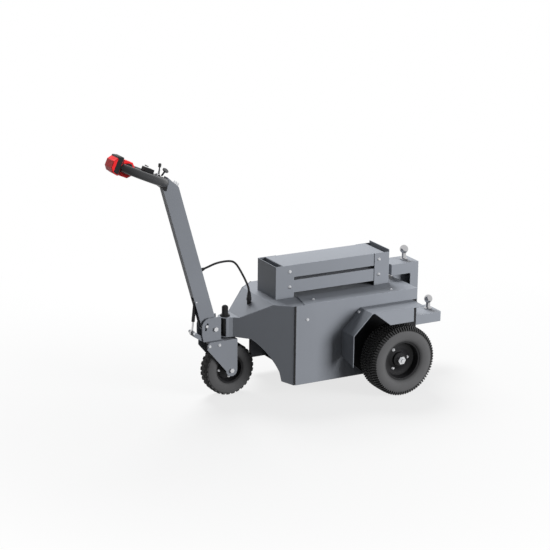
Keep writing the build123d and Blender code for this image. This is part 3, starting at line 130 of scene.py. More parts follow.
# Turns between faces: flat enough to be one face, sharp on a made piece, worth rounding on a node
FLAT_TURN = radians(0.5)
SHARP_TURN = radians(32)
ROUNDED_TURN = radians(40)
MERGE = 1e-6
SOFTENED_SLOTS = ("body_paint", "red_plastic", "black_plastic", "black_paint")


class TugColours(bpy.types.PropertyGroup):
    """Colours of the finishes."""

    paint: bpy.props.FloatVectorProperty(
        name="Body paint", description="Satin powder coat of the steel body", subtype="COLOR",
        size=3, min=0, max=1, default=(0.184, 0.196, 0.218),
    )
    # This black also colours the wheel-arch liners, where it is partly their own black and partly painted
    # shade for the inside of the arches
    black: bpy.props.FloatVectorProperty(
        name="Black paint", description="Black steel of rims, liners and steering head", subtype="COLOR",
        size=3, min=0, max=1, default=(0.011, 0.011, 0.012),
    )
    red: bpy.props.FloatVectorProperty(
        name="Head red", description="Red mouldings of the tiller head", subtype="COLOR",
        size=3, min=0, max=1, default=(0.820, 0.026, 0.030),
    )
    tyre: bpy.props.FloatVectorProperty(
        name="Tyre", description="Rubber of the tyre walls", subtype="COLOR",
        size=3, min=0, max=1, default=(0.075, 0.075, 0.077),
    )


class TugSizes(bpy.types.PropertyGroup):
    """Sizes of the small pieces."""

    bolt: bpy.props.FloatProperty(
        name="Bolt", description="Radius of a cover bolt's head", unit="LENGTH", default=8.5 * MM,
    )
    lug: bpy.props.FloatProperty(
        name="Lug", description="Height of the drive tyres' lugs", unit="LENGTH", default=8 * MM,
    )
    cable: bpy.props.FloatProperty(
        name="Cable", description="Diameter of the control cable", unit="LENGTH", default=12 * MM,
    )


class TugStage(bpy.types.PropertyGroup):
    """Camera and light."""

    focal: bpy.props.FloatProperty(
        name="Focal length", description="Lens on a 36 mm sensor", default=127.3,
    )
    key: bpy.props.FloatProperty(
        name="Key light", description="Power of the low soft box at the left rear", unit="POWER",
        default=490.0,
    )
    fill: bpy.props.FloatProperty(
        name="Fill light", description="Power of the high soft box on the right", unit="POWER", default=500.0,
    )


class Sock:
    """A value in a material; arithmetic on it adds Math nodes."""

    def __init__(self, graph, socket):
        self.graph = graph
        self.socket = socket

    def math(self, operation, first, second, clamp=False):
        settings = {"operation": operation, "use_clamp": clamp}
        return self.graph.node("ShaderNodeMath", settings, {0: first, 1: second})

    def __add__(self, other):
        return self.math("ADD", self, other)

    def __radd__(self, other):
        return self.math("ADD", other, self)

    def __sub__(self, other):
        return self.math("SUBTRACT", self, other)

    def __rsub__(self, other):
        return self.math("SUBTRACT", other, self)

    def __mul__(self, other):
        return self.math("MULTIPLY", self, other)

    def __rmul__(self, other):
        return self.math("MULTIPLY", other, self)

    def clamped(self):
        return self.math("MULTIPLY", self, 1.0, clamp=True)


class Finish:
    """A material on Object coordinates, ending in one Principled shader."""

    def __init__(self, name):
        self.material = bpy.data.materials.new(f"{name}_finish")
        self.material.use_nodes = True
        self.tree = self.material.node_tree
        self.tree.nodes.clear()
        self.shader = self.tree.nodes.new("ShaderNodeBsdfPrincipled")
        self.output = self.tree.nodes.new("ShaderNodeOutputMaterial")
        self.tree.links.new(self.shader.outputs[0], self.output.inputs["Surface"])
        self.place = self.node("ShaderNodeTexCoord", output="Object")

    def put(self, socket, value):
        if isinstance(value, Sock):
            self.tree.links.new(value.socket, socket)
        elif hasattr(socket.default_value, "__len__") and len(value) < len(socket.default_value):
            socket.default_value = (*value, 1.0)
        else:
            socket.default_value = value

    def node(self, kind, settings=None, inputs=None, output=0):
        made = self.tree.nodes.new(kind)
        for key, value in (settings or {}).items():
            setattr(made, key, value)
        for key, value in (inputs or {}).items():
            self.put(made.inputs[key], value)
        return Sock(self, made.outputs[output])

    def noise(self, scale, detail=2.0, rough=0.5):
        inputs = {"Vector": self.place, "Scale": scale, "Detail": detail, "Roughness": rough}
        return self.node("ShaderNodeTexNoise", None, inputs)

    def cells(self, scale):
        inputs = {"Vector": self.place, "Scale": scale}
        return self.node("ShaderNodeTexVoronoi", None, inputs, "Distance")

    def mix(self, factor, first, second):
        settings = {"data_type": "RGBA", "clamp_factor": True}
        return self.node("ShaderNodeMix", settings, {0: factor, 6: first, 7: second}, 2)

    def edges(self, radius):
        """Mask of the outer edges, from the difference of a rounded normal and the true one."""
        rounded = self.node("ShaderNodeBevel", {"samples": 4}, {"Radius": radius})
        true = self.node("ShaderNodeNewGeometry", output="Normal")
        dot = self.node("ShaderNodeVectorMath", {"operation": "DOT_PRODUCT"}, {0: rounded, 1: true}, "Value")
        return (1.0 - dot).clamped()

    def bump(self, height, distance, strength):
        inputs = {"Height": height, "Distance": distance, "Strength": strength}
        return self.node("ShaderNodeBump", None, inputs)

    def done(self, **inputs):
        for key, value in inputs.items():
            self.put(self.shader.inputs[key.replace("_", " ")], value)
        return self.material


def shade(colour, factor):
    """The colour made lighter or darker."""
    return tuple(min(1.0, channel * factor) for channel in colour)


def powder_paint(name, colour, rough=0.42):
    """Powder coat with orange peel, faint clouds and paler edges that are partly rubbed wear and partly a
    painted highlight.
    """
    # Width, strength, cover and tone of the paler edges: partly rubbed wear, partly a painted highlight along
    # the folds
    edge_highlight_and_wear_width, edge_highlight_and_wear_gain, edge_highlight_and_wear_cover, edge_highlight_and_wear_tone = 2.2 * MM, 2.2, 0.8, 2.2
    dark_cloud, pale_cloud = 0.92, 1.08
    peel_height, peel_strength = 0.25 * MM, 0.16
    finish = Finish(name)
    cloud = finish.noise(scale=4.0, detail=4.0)
    peel = finish.noise(scale=420.0)
    speck = finish.cells(scale=900.0)
    # Paler outer edges: a painted highlight along the folds, broken up by noise like rubbed wear
    edge = (finish.edges(edge_highlight_and_wear_width) * edge_highlight_and_wear_gain).clamped() * finish.noise(scale=38.0, detail=3.0)
    body = finish.mix(cloud, shade(colour, dark_cloud), shade(colour, pale_cloud))
    body = finish.mix(edge * edge_highlight_and_wear_cover, body, shade(colour, edge_highlight_and_wear_tone))
    return finish.done(
        Base_Color=body,
        Roughness=rough + 0.10 * cloud - 0.06 * speck,
        Specular_IOR_Level=0.22,
        Normal=finish.bump(peel, peel_height, peel_strength),
    )


def tyre_rubber(name, colour):
    """Rubber, dark on the tread and greyed by dust on the walls."""
    tread_tone, wall_tone = 0.15, 1.12
    wall_gain, wall_start = 1.5, 0.35
    grain_height, grain_strength = 0.25 * MM, 0.35
    finish = Finish(name)
    dust = finish.noise(scale=24.0, detail=5.0, rough=0.6)
    grain = finish.noise(scale=700.0)
    facing_out = finish.node("ShaderNodeTexCoord", output="Normal")
    across = finish.node("ShaderNodeSeparateXYZ", None, {0: facing_out}, "Y")
    wall = (across * across * wall_gain - wall_start).clamped()
    body = finish.mix(wall * (0.7 + 0.3 * dust), shade(colour, tread_tone), shade(colour, wall_tone))
    return finish.done(
        Base_Color=body,
        Roughness=0.56 + 0.22 * dust,
        Specular_IOR_Level=0.3,
        Normal=finish.bump(grain, grain_height, grain_strength),
    )


def bright_metal(name, colour, rough):
    """Plated steel with faint turning marks."""
    smear_tone, smear_rough = 0.86, 0.12
    mark_height, mark_strength = 0.05 * MM, 0.2
    finish = Finish(name)
    smear = finish.noise(scale=60.0, detail=3.0)
    marks = finish.noise(scale=900.0)
    return finish.done(
        Base_Color=finish.mix(smear, shade(colour, smear_tone), colour),
        Metallic=1.0,
        Roughness=rough + smear_rough * smear * rough,
        Normal=finish.bump(marks, mark_height, mark_strength),
    )


def moulded(name, colour, rough, grain=0.3):
    """Moulded plastic or rubber with a fine grain and a painted highlight that makes its outer edges paler.
    """
    dark_tone, pale_tone = 0.9, 1.08
    # Width, cover and tone of the painted highlight along the outer edges
    edge_highlight_width, edge_highlight_cover, edge_highlight_tone = 1.2 * MM, 0.35, 1.6
    pit_depth = 0.12 * MM
    finish = Finish(name)
    tone = finish.noise(scale=16.0, detail=3.0)
    pits = finish.noise(scale=1100.0, detail=1.0)
    edge = finish.edges(edge_highlight_width)
    body = finish.mix(tone, shade(colour, dark_tone), shade(colour, pale_tone))
    return finish.done(
        # The outer edges are made paler here: a painted highlight
        Base_Color=finish.mix(edge * edge_highlight_cover, body, shade(colour, edge_highlight_tone)),
        Roughness=rough + 0.08 * tone,
        Specular_IOR_Level=0.25,
        Normal=finish.bump(pits, pit_depth, grain),
    )


def finishes():
    """The materials by record slot, made once."""
    if "body_paint_finish" not in bpy.data.materials:
        colours = bpy.context.scene.tug_colours
        powder_paint("body_paint", tuple(colours.paint))
        powder_paint("black_paint", tuple(colours.black), rough=0.38)
        tyre_rubber("tyre", tuple(colours.tyre))
        bright_metal("zinc", ZINC, rough=0.30)
        bright_metal("chrome", CHROME, rough=0.10)
        moulded("red_plastic", tuple(colours.red), rough=0.40, grain=0.1)
        moulded("black_plastic", BLACK_MOULDING, rough=0.44)
        moulded("grip", GRIP_RUBBER, rough=0.30, grain=0.12)
        moulded("cable", BLACK_MOULDING, rough=0.48)
        powder_paint("mass_block", HIDDEN_MASS, rough=0.5)
    made = [material for material in bpy.data.materials if material.name.endswith("_finish")]
    return {material.name.removesuffix("_finish"): material for material in made}


def facing(point, axis):
    """Matrix that puts local Z along the axis at the point."""
    turn = Vector((0, 0, 1)).rotation_difference(Vector(axis)).to_matrix().to_4x4()
    return Matrix.Translation(Vector(point)) @ turn


def piece(name, bm, slot, body, smooth=True, covers=()):
    """Makes the bmesh an object that rides on a body, with its finish."""
    bmesh.ops.recalc_face_normals(bm, faces=bm.faces)
    mesh = bpy.data.meshes.new(name)
    bm.to_mesh(mesh)
    bm.free()
    if smooth:
        for polygon in mesh.polygons:
            polygon.use_smooth = True
        mesh.set_sharp_from_angle(angle=SHARP_TURN)
    made = bpy.data.objects.new(name, mesh)
    bpy.context.scene.collection.objects.link(made)
    made.data.materials.append(finishes()[slot])
    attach(made, body)
    if covers:
        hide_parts(*covers)
    return made


def block(bm, size, matrix, bevel=0.0, segments=2, taper=1.0):
    """A box of the given size, centred on the matrix, with rounded edges and a tapered +X end."""
    made = bmesh.ops.create_cube(bm, size=1.0)
    bmesh.ops.scale(bm, vec=size, verts=made["verts"])
    bmesh.ops.scale(bm, vec=(1.0, 1.0, taper), verts=[vert for vert in made["verts"] if vert.co.x > 0])
    if bevel:
        edges = list({edge for vert in made["verts"] for edge in vert.link_edges})
        made = bmesh.ops.bevel(
            bm, geom=edges, offset=bevel, offset_type="OFFSET", affect="EDGES",
            segments=segments, profile=0.5, material=-1,
        )
    bmesh.ops.transform(bm, matrix=matrix, verts=list(set(made["verts"])))


def lathe(bm, outline, matrix, steps=72, closed=False):
    """Spins an outline of (height, radius) points about local Z of the matrix."""
    verts = [bm.verts.new((radius, 0.0, height)) for height, radius in outline]
    pairs = list(zip(verts, verts[1:]))
    if closed:
        pairs.append((verts[-1], verts[0]))
    edges = [bm.edges.new(pair) for pair in pairs]
    before = set(bm.verts)
    bmesh.ops.spin(
        bm, geom=verts + edges, cent=(0, 0, 0), axis=(0, 0, 1), angle=2 * pi,
        steps=steps, use_merge=True, use_duplicate=False,
    )
    made = [vert for vert in bm.verts if vert not in before or vert in verts]
    bmesh.ops.remove_doubles(bm, verts=made, dist=MERGE)
    bmesh.ops.transform(bm, matrix=matrix, verts=[vert for vert in made if vert.is_valid])


def in_mm(outline):
    """The outline's points, given in millimetres, in metres."""
    return [(height * MM, reach * MM) for height, reach in outline]


def on_head(along, across, up):
    """Matrix at a place on the tiller head, turned with it."""
    return HEAD_FRAME @ Matrix.Translation((along, across, up))


def bolt(bm, point, axis, radius):
    """Flanged hex bolt head standing on a face."""
    flange_rim, flange_top = 0.16 * radius, 0.24 * radius
    hex_radius, hex_height, hex_middle = 0.8 * radius, 0.66 * radius, 0.52 * radius
    chamfer = 0.14 * radius
    at = facing(point, axis)
    flange = [(0, radius), (flange_rim, radius), (flange_top, 0.86 * radius), (flange_top, 0)]
    lathe(bm, flange, at, 24)
    made = bmesh.ops.create_cone(
        bm, cap_ends=True, segments=6, radius1=hex_radius, radius2=hex_radius, depth=hex_height
    )
    top = [edge for edge in bm.edges if all(v in made["verts"] and v.co.z > 0 for v in edge.verts)]
    crown = bmesh.ops.bevel(
        bm, geom=top, offset=chamfer, offset_type="OFFSET", affect="EDGES",
        segments=2, profile=0.5, material=-1,
    )
    verts = list({vert for vert in made["verts"] if vert.is_valid} | set(crown["verts"]))
    bmesh.ops.translate(bm, vec=(0, 0, hex_middle), verts=verts)
    bmesh.ops.transform(bm, matrix=at, verts=verts)


class TUG_OT_finish_nodes(bpy.types.Operator):
    """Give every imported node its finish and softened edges"""

    bl_idname = "tug.finish_nodes"
    bl_label = "Finish packed nodes"

    def execute(self, context):
        seam, edge_round, button_round = 0.02 * MM, 1.1 * MM, 4 * MM
        materials = finishes()
        slots = {entry["node"]: entry["material_slot"] for entry in frame["record"]["subparts"]}
        for name, node in frame["nodes"].items():
            node.data.materials.clear()
            node.data.materials.append(materials[slots[name]])
            if slots[name] not in SOFTENED_SLOTS:
                continue
            is_button = name == "belly_button"
            weld = node.modifiers.new("weld", "WELD")
            weld.merge_threshold = seam
            plain = node.modifiers.new("plain faces", "DECIMATE")
            plain.decimate_type = "DISSOLVE"
            plain.angle_limit = FLAT_TURN
            edge = node.modifiers.new("soft edges", "BEVEL")
            edge.width = button_round if is_button else edge_round
            edge.segments = 3 if is_button else 2
            edge.limit_method = "ANGLE"
            edge.angle_limit = ROUNDED_TURN
        return {"FINISHED"}


def tyre_shell(name, radius, half, bead, at, body, covers):
    """Carcass of a tyre, spun from a few points of its section and rounded by subdivision."""
    depth = radius - bead
    # Share of the half width, and radius, from the bead to the middle of the tread
    section = [
        (0.73, bead),
        (0.80, bead + 0.06 * depth),
        (0.93, bead + 0.20 * depth),
        (1.0, bead + 0.42 * depth),
        (1.0, bead + 0.62 * depth),
        (0.95, bead + 0.84 * depth),
        (0.80, 0.974 * radius),
        (0.45, 0.996 * radius),
        (0.15, radius),
    ]
    outline = [(share * half, reach) for share, reach in section]
    outline += [(-height, reach) for height, reach in reversed(outline)]
    bm = bmesh.new()
    lathe(bm, outline, at, 96, closed=True)
    shell = piece(name, bm, "tyre", body, covers=covers)
    rounding = shell.modifiers.new("round", "SUBSURF")
    rounding.levels = 1
    rounding.render_levels = 1


def lug_ring(bm, at, count, size, radius, height, tilt=0.0, lean=0.0, phase=0.0):
    """A ring of tapered lugs about local Z of the matrix: one lug, spun round."""
    top_share = (1.0, 0.78, 0.86)
    lug = bmesh.ops.create_cube(bm, size=1.0)["verts"]
    bmesh.ops.scale(bm, vec=size, verts=lug)
    bmesh.ops.scale(bm, vec=top_share, verts=[vert for vert in lug if vert.co.x > 0])
    turn = Matrix.Rotation(2 * pi * phase / count, 4, "Z")
    slope = Matrix.Rotation(-tilt, 4, "Y") @ Matrix.Rotation(lean, 4, "X")
    bmesh.ops.transform(bm, matrix=turn @ Matrix.Translation((radius, 0, height)) @ slope, verts=lug)
    edges = {edge for vert in lug for edge in vert.link_edges}
    faces = {face for vert in lug for face in vert.link_faces}
    before = set(bm.verts) - set(lug)
    bmesh.ops.spin(
        bm, geom=[*lug, *edges, *faces], cent=(0, 0, 0), axis=(0, 0, 1),
        angle=2 * pi * (count - 1) / count, steps=count - 1, use_merge=False, use_duplicate=True,
    )
    bmesh.ops.transform(bm, matrix=at, verts=[vert for vert in bm.verts if vert not in before])


class TUG_OT_drive_tyres(bpy.types.Operator):
    """Replace the drive tyres by turf tyres with rows of small lugs"""

    bl_idname = "tug.drive_tyres"
    bl_label = "Drive tyres"

    def execute(self, context):
        lug = context.scene.tug_sizes.lug
        base = REAR_TYRE_R - lug
        count = 78
        depth, width = 1.6 * lug, 8.5 * MM
        # Share of the half width, radius, length, tilt and lean of each row, from the shoulder inwards
        rows = (
            (0.86, base - 7.0 * MM, 29 * MM, 0.80, 0.0),
            (0.58, base + 0.2 * MM, 18 * MM, 0.14, 0.45),
            (0.35, base + 1.2 * MM, 15 * MM, 0.05, -0.45),
            (0.12, base + 1.4 * MM, 14 * MM, 0.0, 0.45),
        )
        for side, sign in SIDES:
            low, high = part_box(f"rear_tyre_{side}")
            at = facing((low + high) / 2, (0, sign, 0))
            body = f"rear_wheel_{side}"
            tyre_shell(f"drive_tyre_{side}", base, REAR_HALF, REAR_BEAD, at, body, (f"rear_tyre_{side}",))
            bm = bmesh.new()
            for step, (share, radius, length, tilt, lean) in enumerate(rows):
                for way in (1, -1):
                    lug_ring(
                        bm, at, count, (depth, width, length), radius, way * share * REAR_HALF,
                        tilt=way * tilt, lean=way * lean, phase=step / 2,
                    )
            piece(f"drive_tread_{side}", bm, "tyre", body, smooth=False)
        return {"FINISHED"}


class TUG_OT_front_tyre(bpy.types.Operator):
    """Replace the front tyre by one with small shoulder lugs"""

    bl_idname = "tug.front_tyre"
    bl_label = "Front tyre"

    def execute(self, context):
        lug = context.scene.tug_sizes.lug / 2
        base = FRONT_TYRE_R - lug
        count = 30
        at = facing(FRONT_AXLE, (0, 1, 0))
        tyre_shell("front_tyre_shell", base, FRONT_HALF, FRONT_BEAD, at, "front_wheel", ("front_tyre",))
        shoulder_lug = (2 * lug, 21 * MM, 17 * MM)
        middle_lug = (1.8 * lug, 19 * MM, 24 * MM)
        shoulder_drop, shoulder_share, shoulder_tilt = 4 * MM, 0.74, 0.62
        bm = bmesh.new()
        for way in (1, -1):
            lug_ring(
                bm, at, count, shoulder_lug, base - shoulder_drop, shoulder_share * way * FRONT_HALF,
                tilt=shoulder_tilt * way, phase=0.25 * way,
            )
        lug_ring(bm, at, count, middle_lug, base, 0.0)
        piece("front_tread", bm, "tyre", "front_wheel", smooth=False)
        return {"FINISHED"}


class TUG_OT_rims(bpy.types.Operator):
    """Replace the rims by pressed discs with their bolts"""

    bl_idname = "tug.rims"
    bl_label = "Rims"

    def execute(self, context):
        bolts, bolt_circle, bolt_seat, bolt_radius = 3, 62 * MM, 9.5 * MM, 9 * MM
        hub_nut = 15 * MM
        # Millimetres out from the tyre's middle, and radius: outer flange, dish, hub and inner side
        section = [
            (-58, 112), (-54, 112), (-52, 106), (52, 106), (54, 112), (58, 113), (60, 110), (57, 103),
            (40, 99), (18, 96), (12, 90), (9, 82), (8, 68), (11, 58), (18, 50), (20, 44), (32, 40),
            (36, 34), (36, 21), (-60, 21), (-60, 40), (4, 46), (2, 60), (2, 84), (6, 92), (-50, 98),
            (-56, 103),
        ]
        outline = in_mm(section)
        for side, sign in SIDES:
            low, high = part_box(f"rear_tyre_{side}")
            at = facing((low + high) / 2, (0, sign, 0))
            bm = bmesh.new()
            lathe(bm, outline, at, 96, closed=True)
            piece(f"rim_{side}", bm, "black_paint", f"rear_wheel_{side}", covers=(f"rear_rim_{side}",))
            bm = bmesh.new()
            for step in range(bolts):
                turn = Matrix.Rotation(pi + 2 * pi * step / bolts, 4, "Z")
                bolt(bm, at @ turn @ Vector((bolt_circle, 0, bolt_seat)), (0, sign, 0), bolt_radius)
            shaft_end = sign * max(sign * corner.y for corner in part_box(f"half_shaft_{side}"))
            bolt(bm, (REAR_AXLE.x, shaft_end, REAR_AXLE.z), (0, sign, 0), hub_nut)
            piece(f"rim_bolts_{side}", bm, "zinc", f"rear_wheel_{side}")
        half = 0.70 * FRONT_HALF
        fork_plate = 8.4 * MM
        bore, hub_radius = 8.3 * MM, 18 * MM
        bolts, bolt_circle, bolt_seat, bolt_radius, first_turn = 4, 54 * MM, 4 * MM, 7.5 * MM, 0.17
        at = facing(FRONT_AXLE, (0, 1, 0))
        face = [
            (4 * MM, 24 * MM), (4 * MM, 60 * MM), (10 * MM, 66 * MM), (0.80 * half, 70 * MM),
            (half + 1 * MM, 74 * MM), (half + 4 * MM, 80 * MM), (half + 2 * MM, 83 * MM), (half, 78 * MM),
        ]
        hub = FORK_HIGH.y - fork_plate
        outline = [(hub, bore), (hub, hub_radius), (16 * MM, 22 * MM), *face]
        outline += [(-height, radius) for height, radius in reversed(outline)]
        bm = bmesh.new()
        lathe(bm, outline, at, 80, closed=True)
        piece("front_rim_disc", bm, "black_paint", "front_wheel", covers=("front_rim",))
        bm = bmesh.new()
        for side in (-1, 1):
            for step in range(bolts):
                turn = Matrix.Rotation(2 * pi * step / bolts + first_turn, 4, "Z")
                point = at @ turn @ Vector((bolt_circle, 0, side * bolt_seat))
                bolt(bm, point, (0, side, 0), bolt_radius)
        piece("front_rim_bolts", bm, "zinc", "front_wheel")
        return {"FINISHED"}


class TUG_OT_cover_bolts(bpy.types.Operator):
    """Bright bolts of the covers, ballast and fork, and black strips at the side panels' front edges that
    paint the shade in the gap there
    """

    bl_idname = "tug.cover_bolts"
    bl_label = "Bolts"

    def execute(self, context):
        size = context.scene.tug_sizes.bolt
        ballast_size, spring_size = 1.1 * size, 7 * MM
        side_y = PANEL_HIGH.y
        top_z = PANEL_HIGH.z
        front_x = FRONT_WING_LOW.x + 27 * MM
        rear_x = REAR_WING_HIGH.x - 29 * MM
        slab_z = [(UPPER_SLAB_LOW.z + UPPER_SLAB_HIGH.z) / 2, (LOWER_SLAB_LOW.z + LOWER_SLAB_HIGH.z) / 2]
        panel_x, panel_z = PANEL_HIGH.x - 72 * MM, 459 * MM
        fender_x, fender_y, fender_z = FENDER_HIGH.x - 99 * MM, side_y + 18 * MM, 463.3 * MM
        deck_places = ((PANEL_HIGH.x - 144 * MM, 205 * MM), (REAR_AXLE.x - 58 * MM, 233 * MM))
        slope = Vector((1, 0, 1)).normalized()
        bm = bmesh.new()
        for sign in (1, -1):
            out = (0, sign, 0)
            bolt(bm, (panel_x, sign * side_y, panel_z), out, size)
            bolt(bm, (fender_x, sign * fender_y, fender_z), slope, size)
            for x, y in deck_places:
                bolt(bm, (x, sign * y, top_z), (0, 0, 1), size)
            for z in slab_z:
                bolt(bm, (front_x, sign * FRONT_WING_HIGH.y, z), out, ballast_size)
                bolt(bm, (rear_x, sign * REAR_WING_HIGH.y, z), out, ballast_size)
        piece("cover_bolts", bm, "zinc", "chassis")
        eye = (SPRING_PIN_LOW + SPRING_PIN_HIGH) / 2
        fork_z = FORK_HIGH.z - 22 * MM
        bm = bmesh.new()
        for sign in (1, -1):
            bolt(bm, (eye.x, sign * SPRING_PIN_HIGH.y, eye.z), (0, sign, 0), spring_size)
            for x in (FRONT_AXLE.x + 136 * MM, FRONT_AXLE.x + 76 * MM):
                bolt(bm, (x, sign * FORK_HIGH.y, fork_z), (0, sign, 0), size)
        piece("fork_bolts", bm, "zinc", "steer")
        # Black strips at the side panels' front edges: painted shade for the shaded gap between each panel
        # and the nose
        gap_shade_strip = (10 * MM, 5 * MM, PANEL_HIGH.z - PANEL_LOW.z - 6 * MM)
        gap_shade_x, gap_shade_y, gap_shade_round = PANEL_HIGH.x + 4 * MM, side_y - 2 * MM, 1.2 * MM
        middle_z = (PANEL_HIGH.z + PANEL_LOW.z) / 2
        bm = bmesh.new()
        for sign in (1, -1):
            block(bm, gap_shade_strip, Matrix.Translation((gap_shade_x, sign * gap_shade_y, middle_z)), gap_shade_round)
        piece("panel_gap_shade_strips", bm, "black_plastic", "chassis")
        return {"FINISHED"}


class TUG_OT_tow_balls(bpy.types.Operator):
    """Replace the tow balls by finely turned ones"""

    bl_idname = "tug.tow_balls"
    bl_label = "Tow balls"

    def execute(self, context):
        ball, neck, flange, shank = 25 * MM, 13 * MM, 23 * MM, 10 * MM
        rise, shank_length = 62 * MM, 34 * MM
        nut_radius, nut_height = 17 * MM, 12 * MM
        plates = {"upper": 6 * MM, "lower": 12 * MM}
        steps = 16
        first = atan2(-sqrt(ball**2 - neck**2), neck)
        arc = [first + (pi / 2 - first) * step / steps for step in range(steps + 1)]
        foot = -rise - shank_length
        outline = [
            (foot, 0), (foot, shank), (-rise, shank), (-rise, flange),
            (-rise + 7 * MM, flange), (-rise + 12 * MM, 15 * MM), (-rise + 17 * MM, neck),
        ]
        outline += [(ball * sin(angle), ball * cos(angle)) for angle in arc]
        for level, plate in plates.items():
            low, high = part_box(f"tow_ball_{level}")
            centre = Vector(((low.x + high.x) / 2, 0, high.z - ball))
            bm = bmesh.new()
            lathe(bm, outline, Matrix.Translation(centre), 64)
            nut = bmesh.ops.create_cone(
                bm, cap_ends=True, segments=6, radius1=nut_radius, radius2=nut_radius, depth=nut_height,
            )
            nut_place = centre + Vector((0, 0, -rise - plate - nut_height / 2))
            bmesh.ops.translate(bm, vec=nut_place, verts=nut["verts"])
            piece(f"ball_{level}", bm, "chrome", "chassis", covers=(f"tow_ball_{level}",))
        return {"FINISHED"}


class TUG_OT_tiller_head(bpy.types.Operator):
    """Button sleeve, thumb wheels, console buttons, knob, toggle and the arm's top bolts"""

    bl_idname = "tug.tiller_head"
    bl_label = "Tiller head"

    def execute(self, context):
        top = CORE_H / 2

        sleeve = (32 * MM, 95 * MM, BUTTON_H + 3 * MM)
        sleeve_along = BUTTON_AT + 15 * MM
        bm = bmesh.new()
        block(bm, sleeve, on_head(sleeve_along, 0, 0), bevel=4 * MM, segments=3, taper=0.86)
        piece("button_sleeve", bm, "black_plastic", "tiller")

        wheel = [(0, 0), (0, 19), (3, 21), (9, 21), (12, 18), (12, 0)]
        wheel_along, wheel_across, wheel_up = BUTTON_AT - 52 * MM, CORE_HALF + 9 * MM, 8 * MM
        sunk = Matrix.Translation((0, 0, -9 * MM))
        bm = bmesh.new()
        for sign in (1, -1):
            at = on_head(wheel_along, sign * wheel_across, wheel_up)
            lathe(bm, in_mm(wheel), at @ Matrix.Rotation(-sign * pi / 2, 4, "X") @ sunk, 32)
        piece("thumb_wheels", bm, "black_plastic", "tiller")

        button = [(-3, 5), (1.5, 5), (2.5, 4), (2.5, 0)]
        button_along, button_up, button_pitch = 130 * MM, top + 25 * MM, 13 * MM
        bm = bmesh.new()
        for step in (-1, 0, 1):
            lathe(bm, in_mm(button), on_head(button_along, step * button_pitch, button_up), 24)
        piece("console_buttons", bm, "grip", "tiller")

        knob = [(-38, 0), (-38, 5), (-2, 5), (-2, 17), (3, 18), (5, 15), (5, 0)]
        knob_lean = Matrix.Rotation(-0.5, 4, "X")
        bm = bmesh.new()
        lathe(bm, in_mm(knob), on_head(22 * MM, 14 * MM, top + 36 * MM) @ knob_lean, 40)
        piece("disc_knob", bm, "grip", "tiller")

        toggle = [(-4, 0), (-4, 8), (3, 8), (5, 4), (42, 3.5), (45, 8), (62, 8.5), (65, 6), (65, 0)]
        toggle_lean = Matrix.Rotation(0.3, 4, "Y")
        bm = bmesh.new()
        lathe(bm, in_mm(toggle), on_head(46 * MM, 8 * MM, top) @ toggle_lean, 24)
        piece("toggle", bm, "grip", "tiller")

        stud = [(0, 0), (0, 4), (15, 4), (17, 2.5), (17, 0)]
        nut_radius, half_pitch = 8 * MM, 11 * MM
        out = Vector((ARM_TOP_FALL.z, 0, -ARM_TOP_FALL.x)).normalized()
        bm = bmesh.new()
        for share in (0.72, 0.9):
            for sign in (-1, 1):
                foot = ARM_PEAK + ARM_TOP_FALL * share + Vector((0, sign * half_pitch, 0))
                bolt(bm, foot, out, nut_radius)
                lathe(bm, in_mm(stud), facing(foot, out), 16)
        piece("arm_top_bolts", bm, "zinc", "tiller")
        return {"FINISHED"}


def tube(name, points, radius, sides=16):
    """Mesh of a tube along a smooth spline set by control points, and the points that it follows."""
    curve = bpy.data.curves.new(name + "_line", "CURVE")
    curve.dimensions = "3D"
    curve.resolution_u = 12
    spline = curve.splines.new("NURBS")
    spline.points.add(len(points) - 1)
    for point, place in zip(spline.points, points):
        point.co = (*place, 1.0)
    spline.order_u = 3
    spline.use_endpoint_u = True
    holder = bpy.data.objects.new(name + "_line", curve)
    bpy.context.scene.collection.objects.link(holder)
    line = bpy.data.meshes.new_from_object(holder)
    path = [tuple(vert.co) for vert in line.vertices]
    bpy.data.meshes.remove(line)
    curve.bevel_depth = radius
    curve.bevel_resolution = sides // 4
    curve.use_fill_caps = True
    skin = bpy.data.meshes.new_from_object(holder)
    bm = bmesh.new()
    bm.from_mesh(skin)
    bpy.data.meshes.remove(skin)
    bpy.data.objects.remove(holder)
    bpy.data.curves.remove(curve)
    bmesh.ops.remove_doubles(bm, verts=bm.verts, dist=MERGE)
    return bm, path


class TUG_OT_grips(bpy.types.Operator):
    """Smooth looped grips on both sides of the head"""

    bl_idname = "tug.grips"
    bl_label = "Grips"

    def execute(self, context):
        radius, drop = 23 * MM, -4 * MM
        # Millimetres along the head and out from its middle
        route = [(2, 20), (22, 52), (70, 88), (118, 98), (168, 98), (222, 88), (262, 56), (276, 28)]
        bm = bmesh.new()
        for sign in (1, -1):
            points = [
                HEAD_FRAME @ Vector((along * MM, sign * across * MM, drop)) for along, across in route
            ]
            half = tube("grip_half", points, radius, sides=24)[0]
            mesh = bpy.data.meshes.new("grip_half")
            half.to_mesh(mesh)
            half.free()
            bm.from_mesh(mesh)
            bpy.data.meshes.remove(mesh)
        piece("grip_tubes", bm, "grip", "tiller", covers=("grip_loop",))
        return {"FINISHED"}


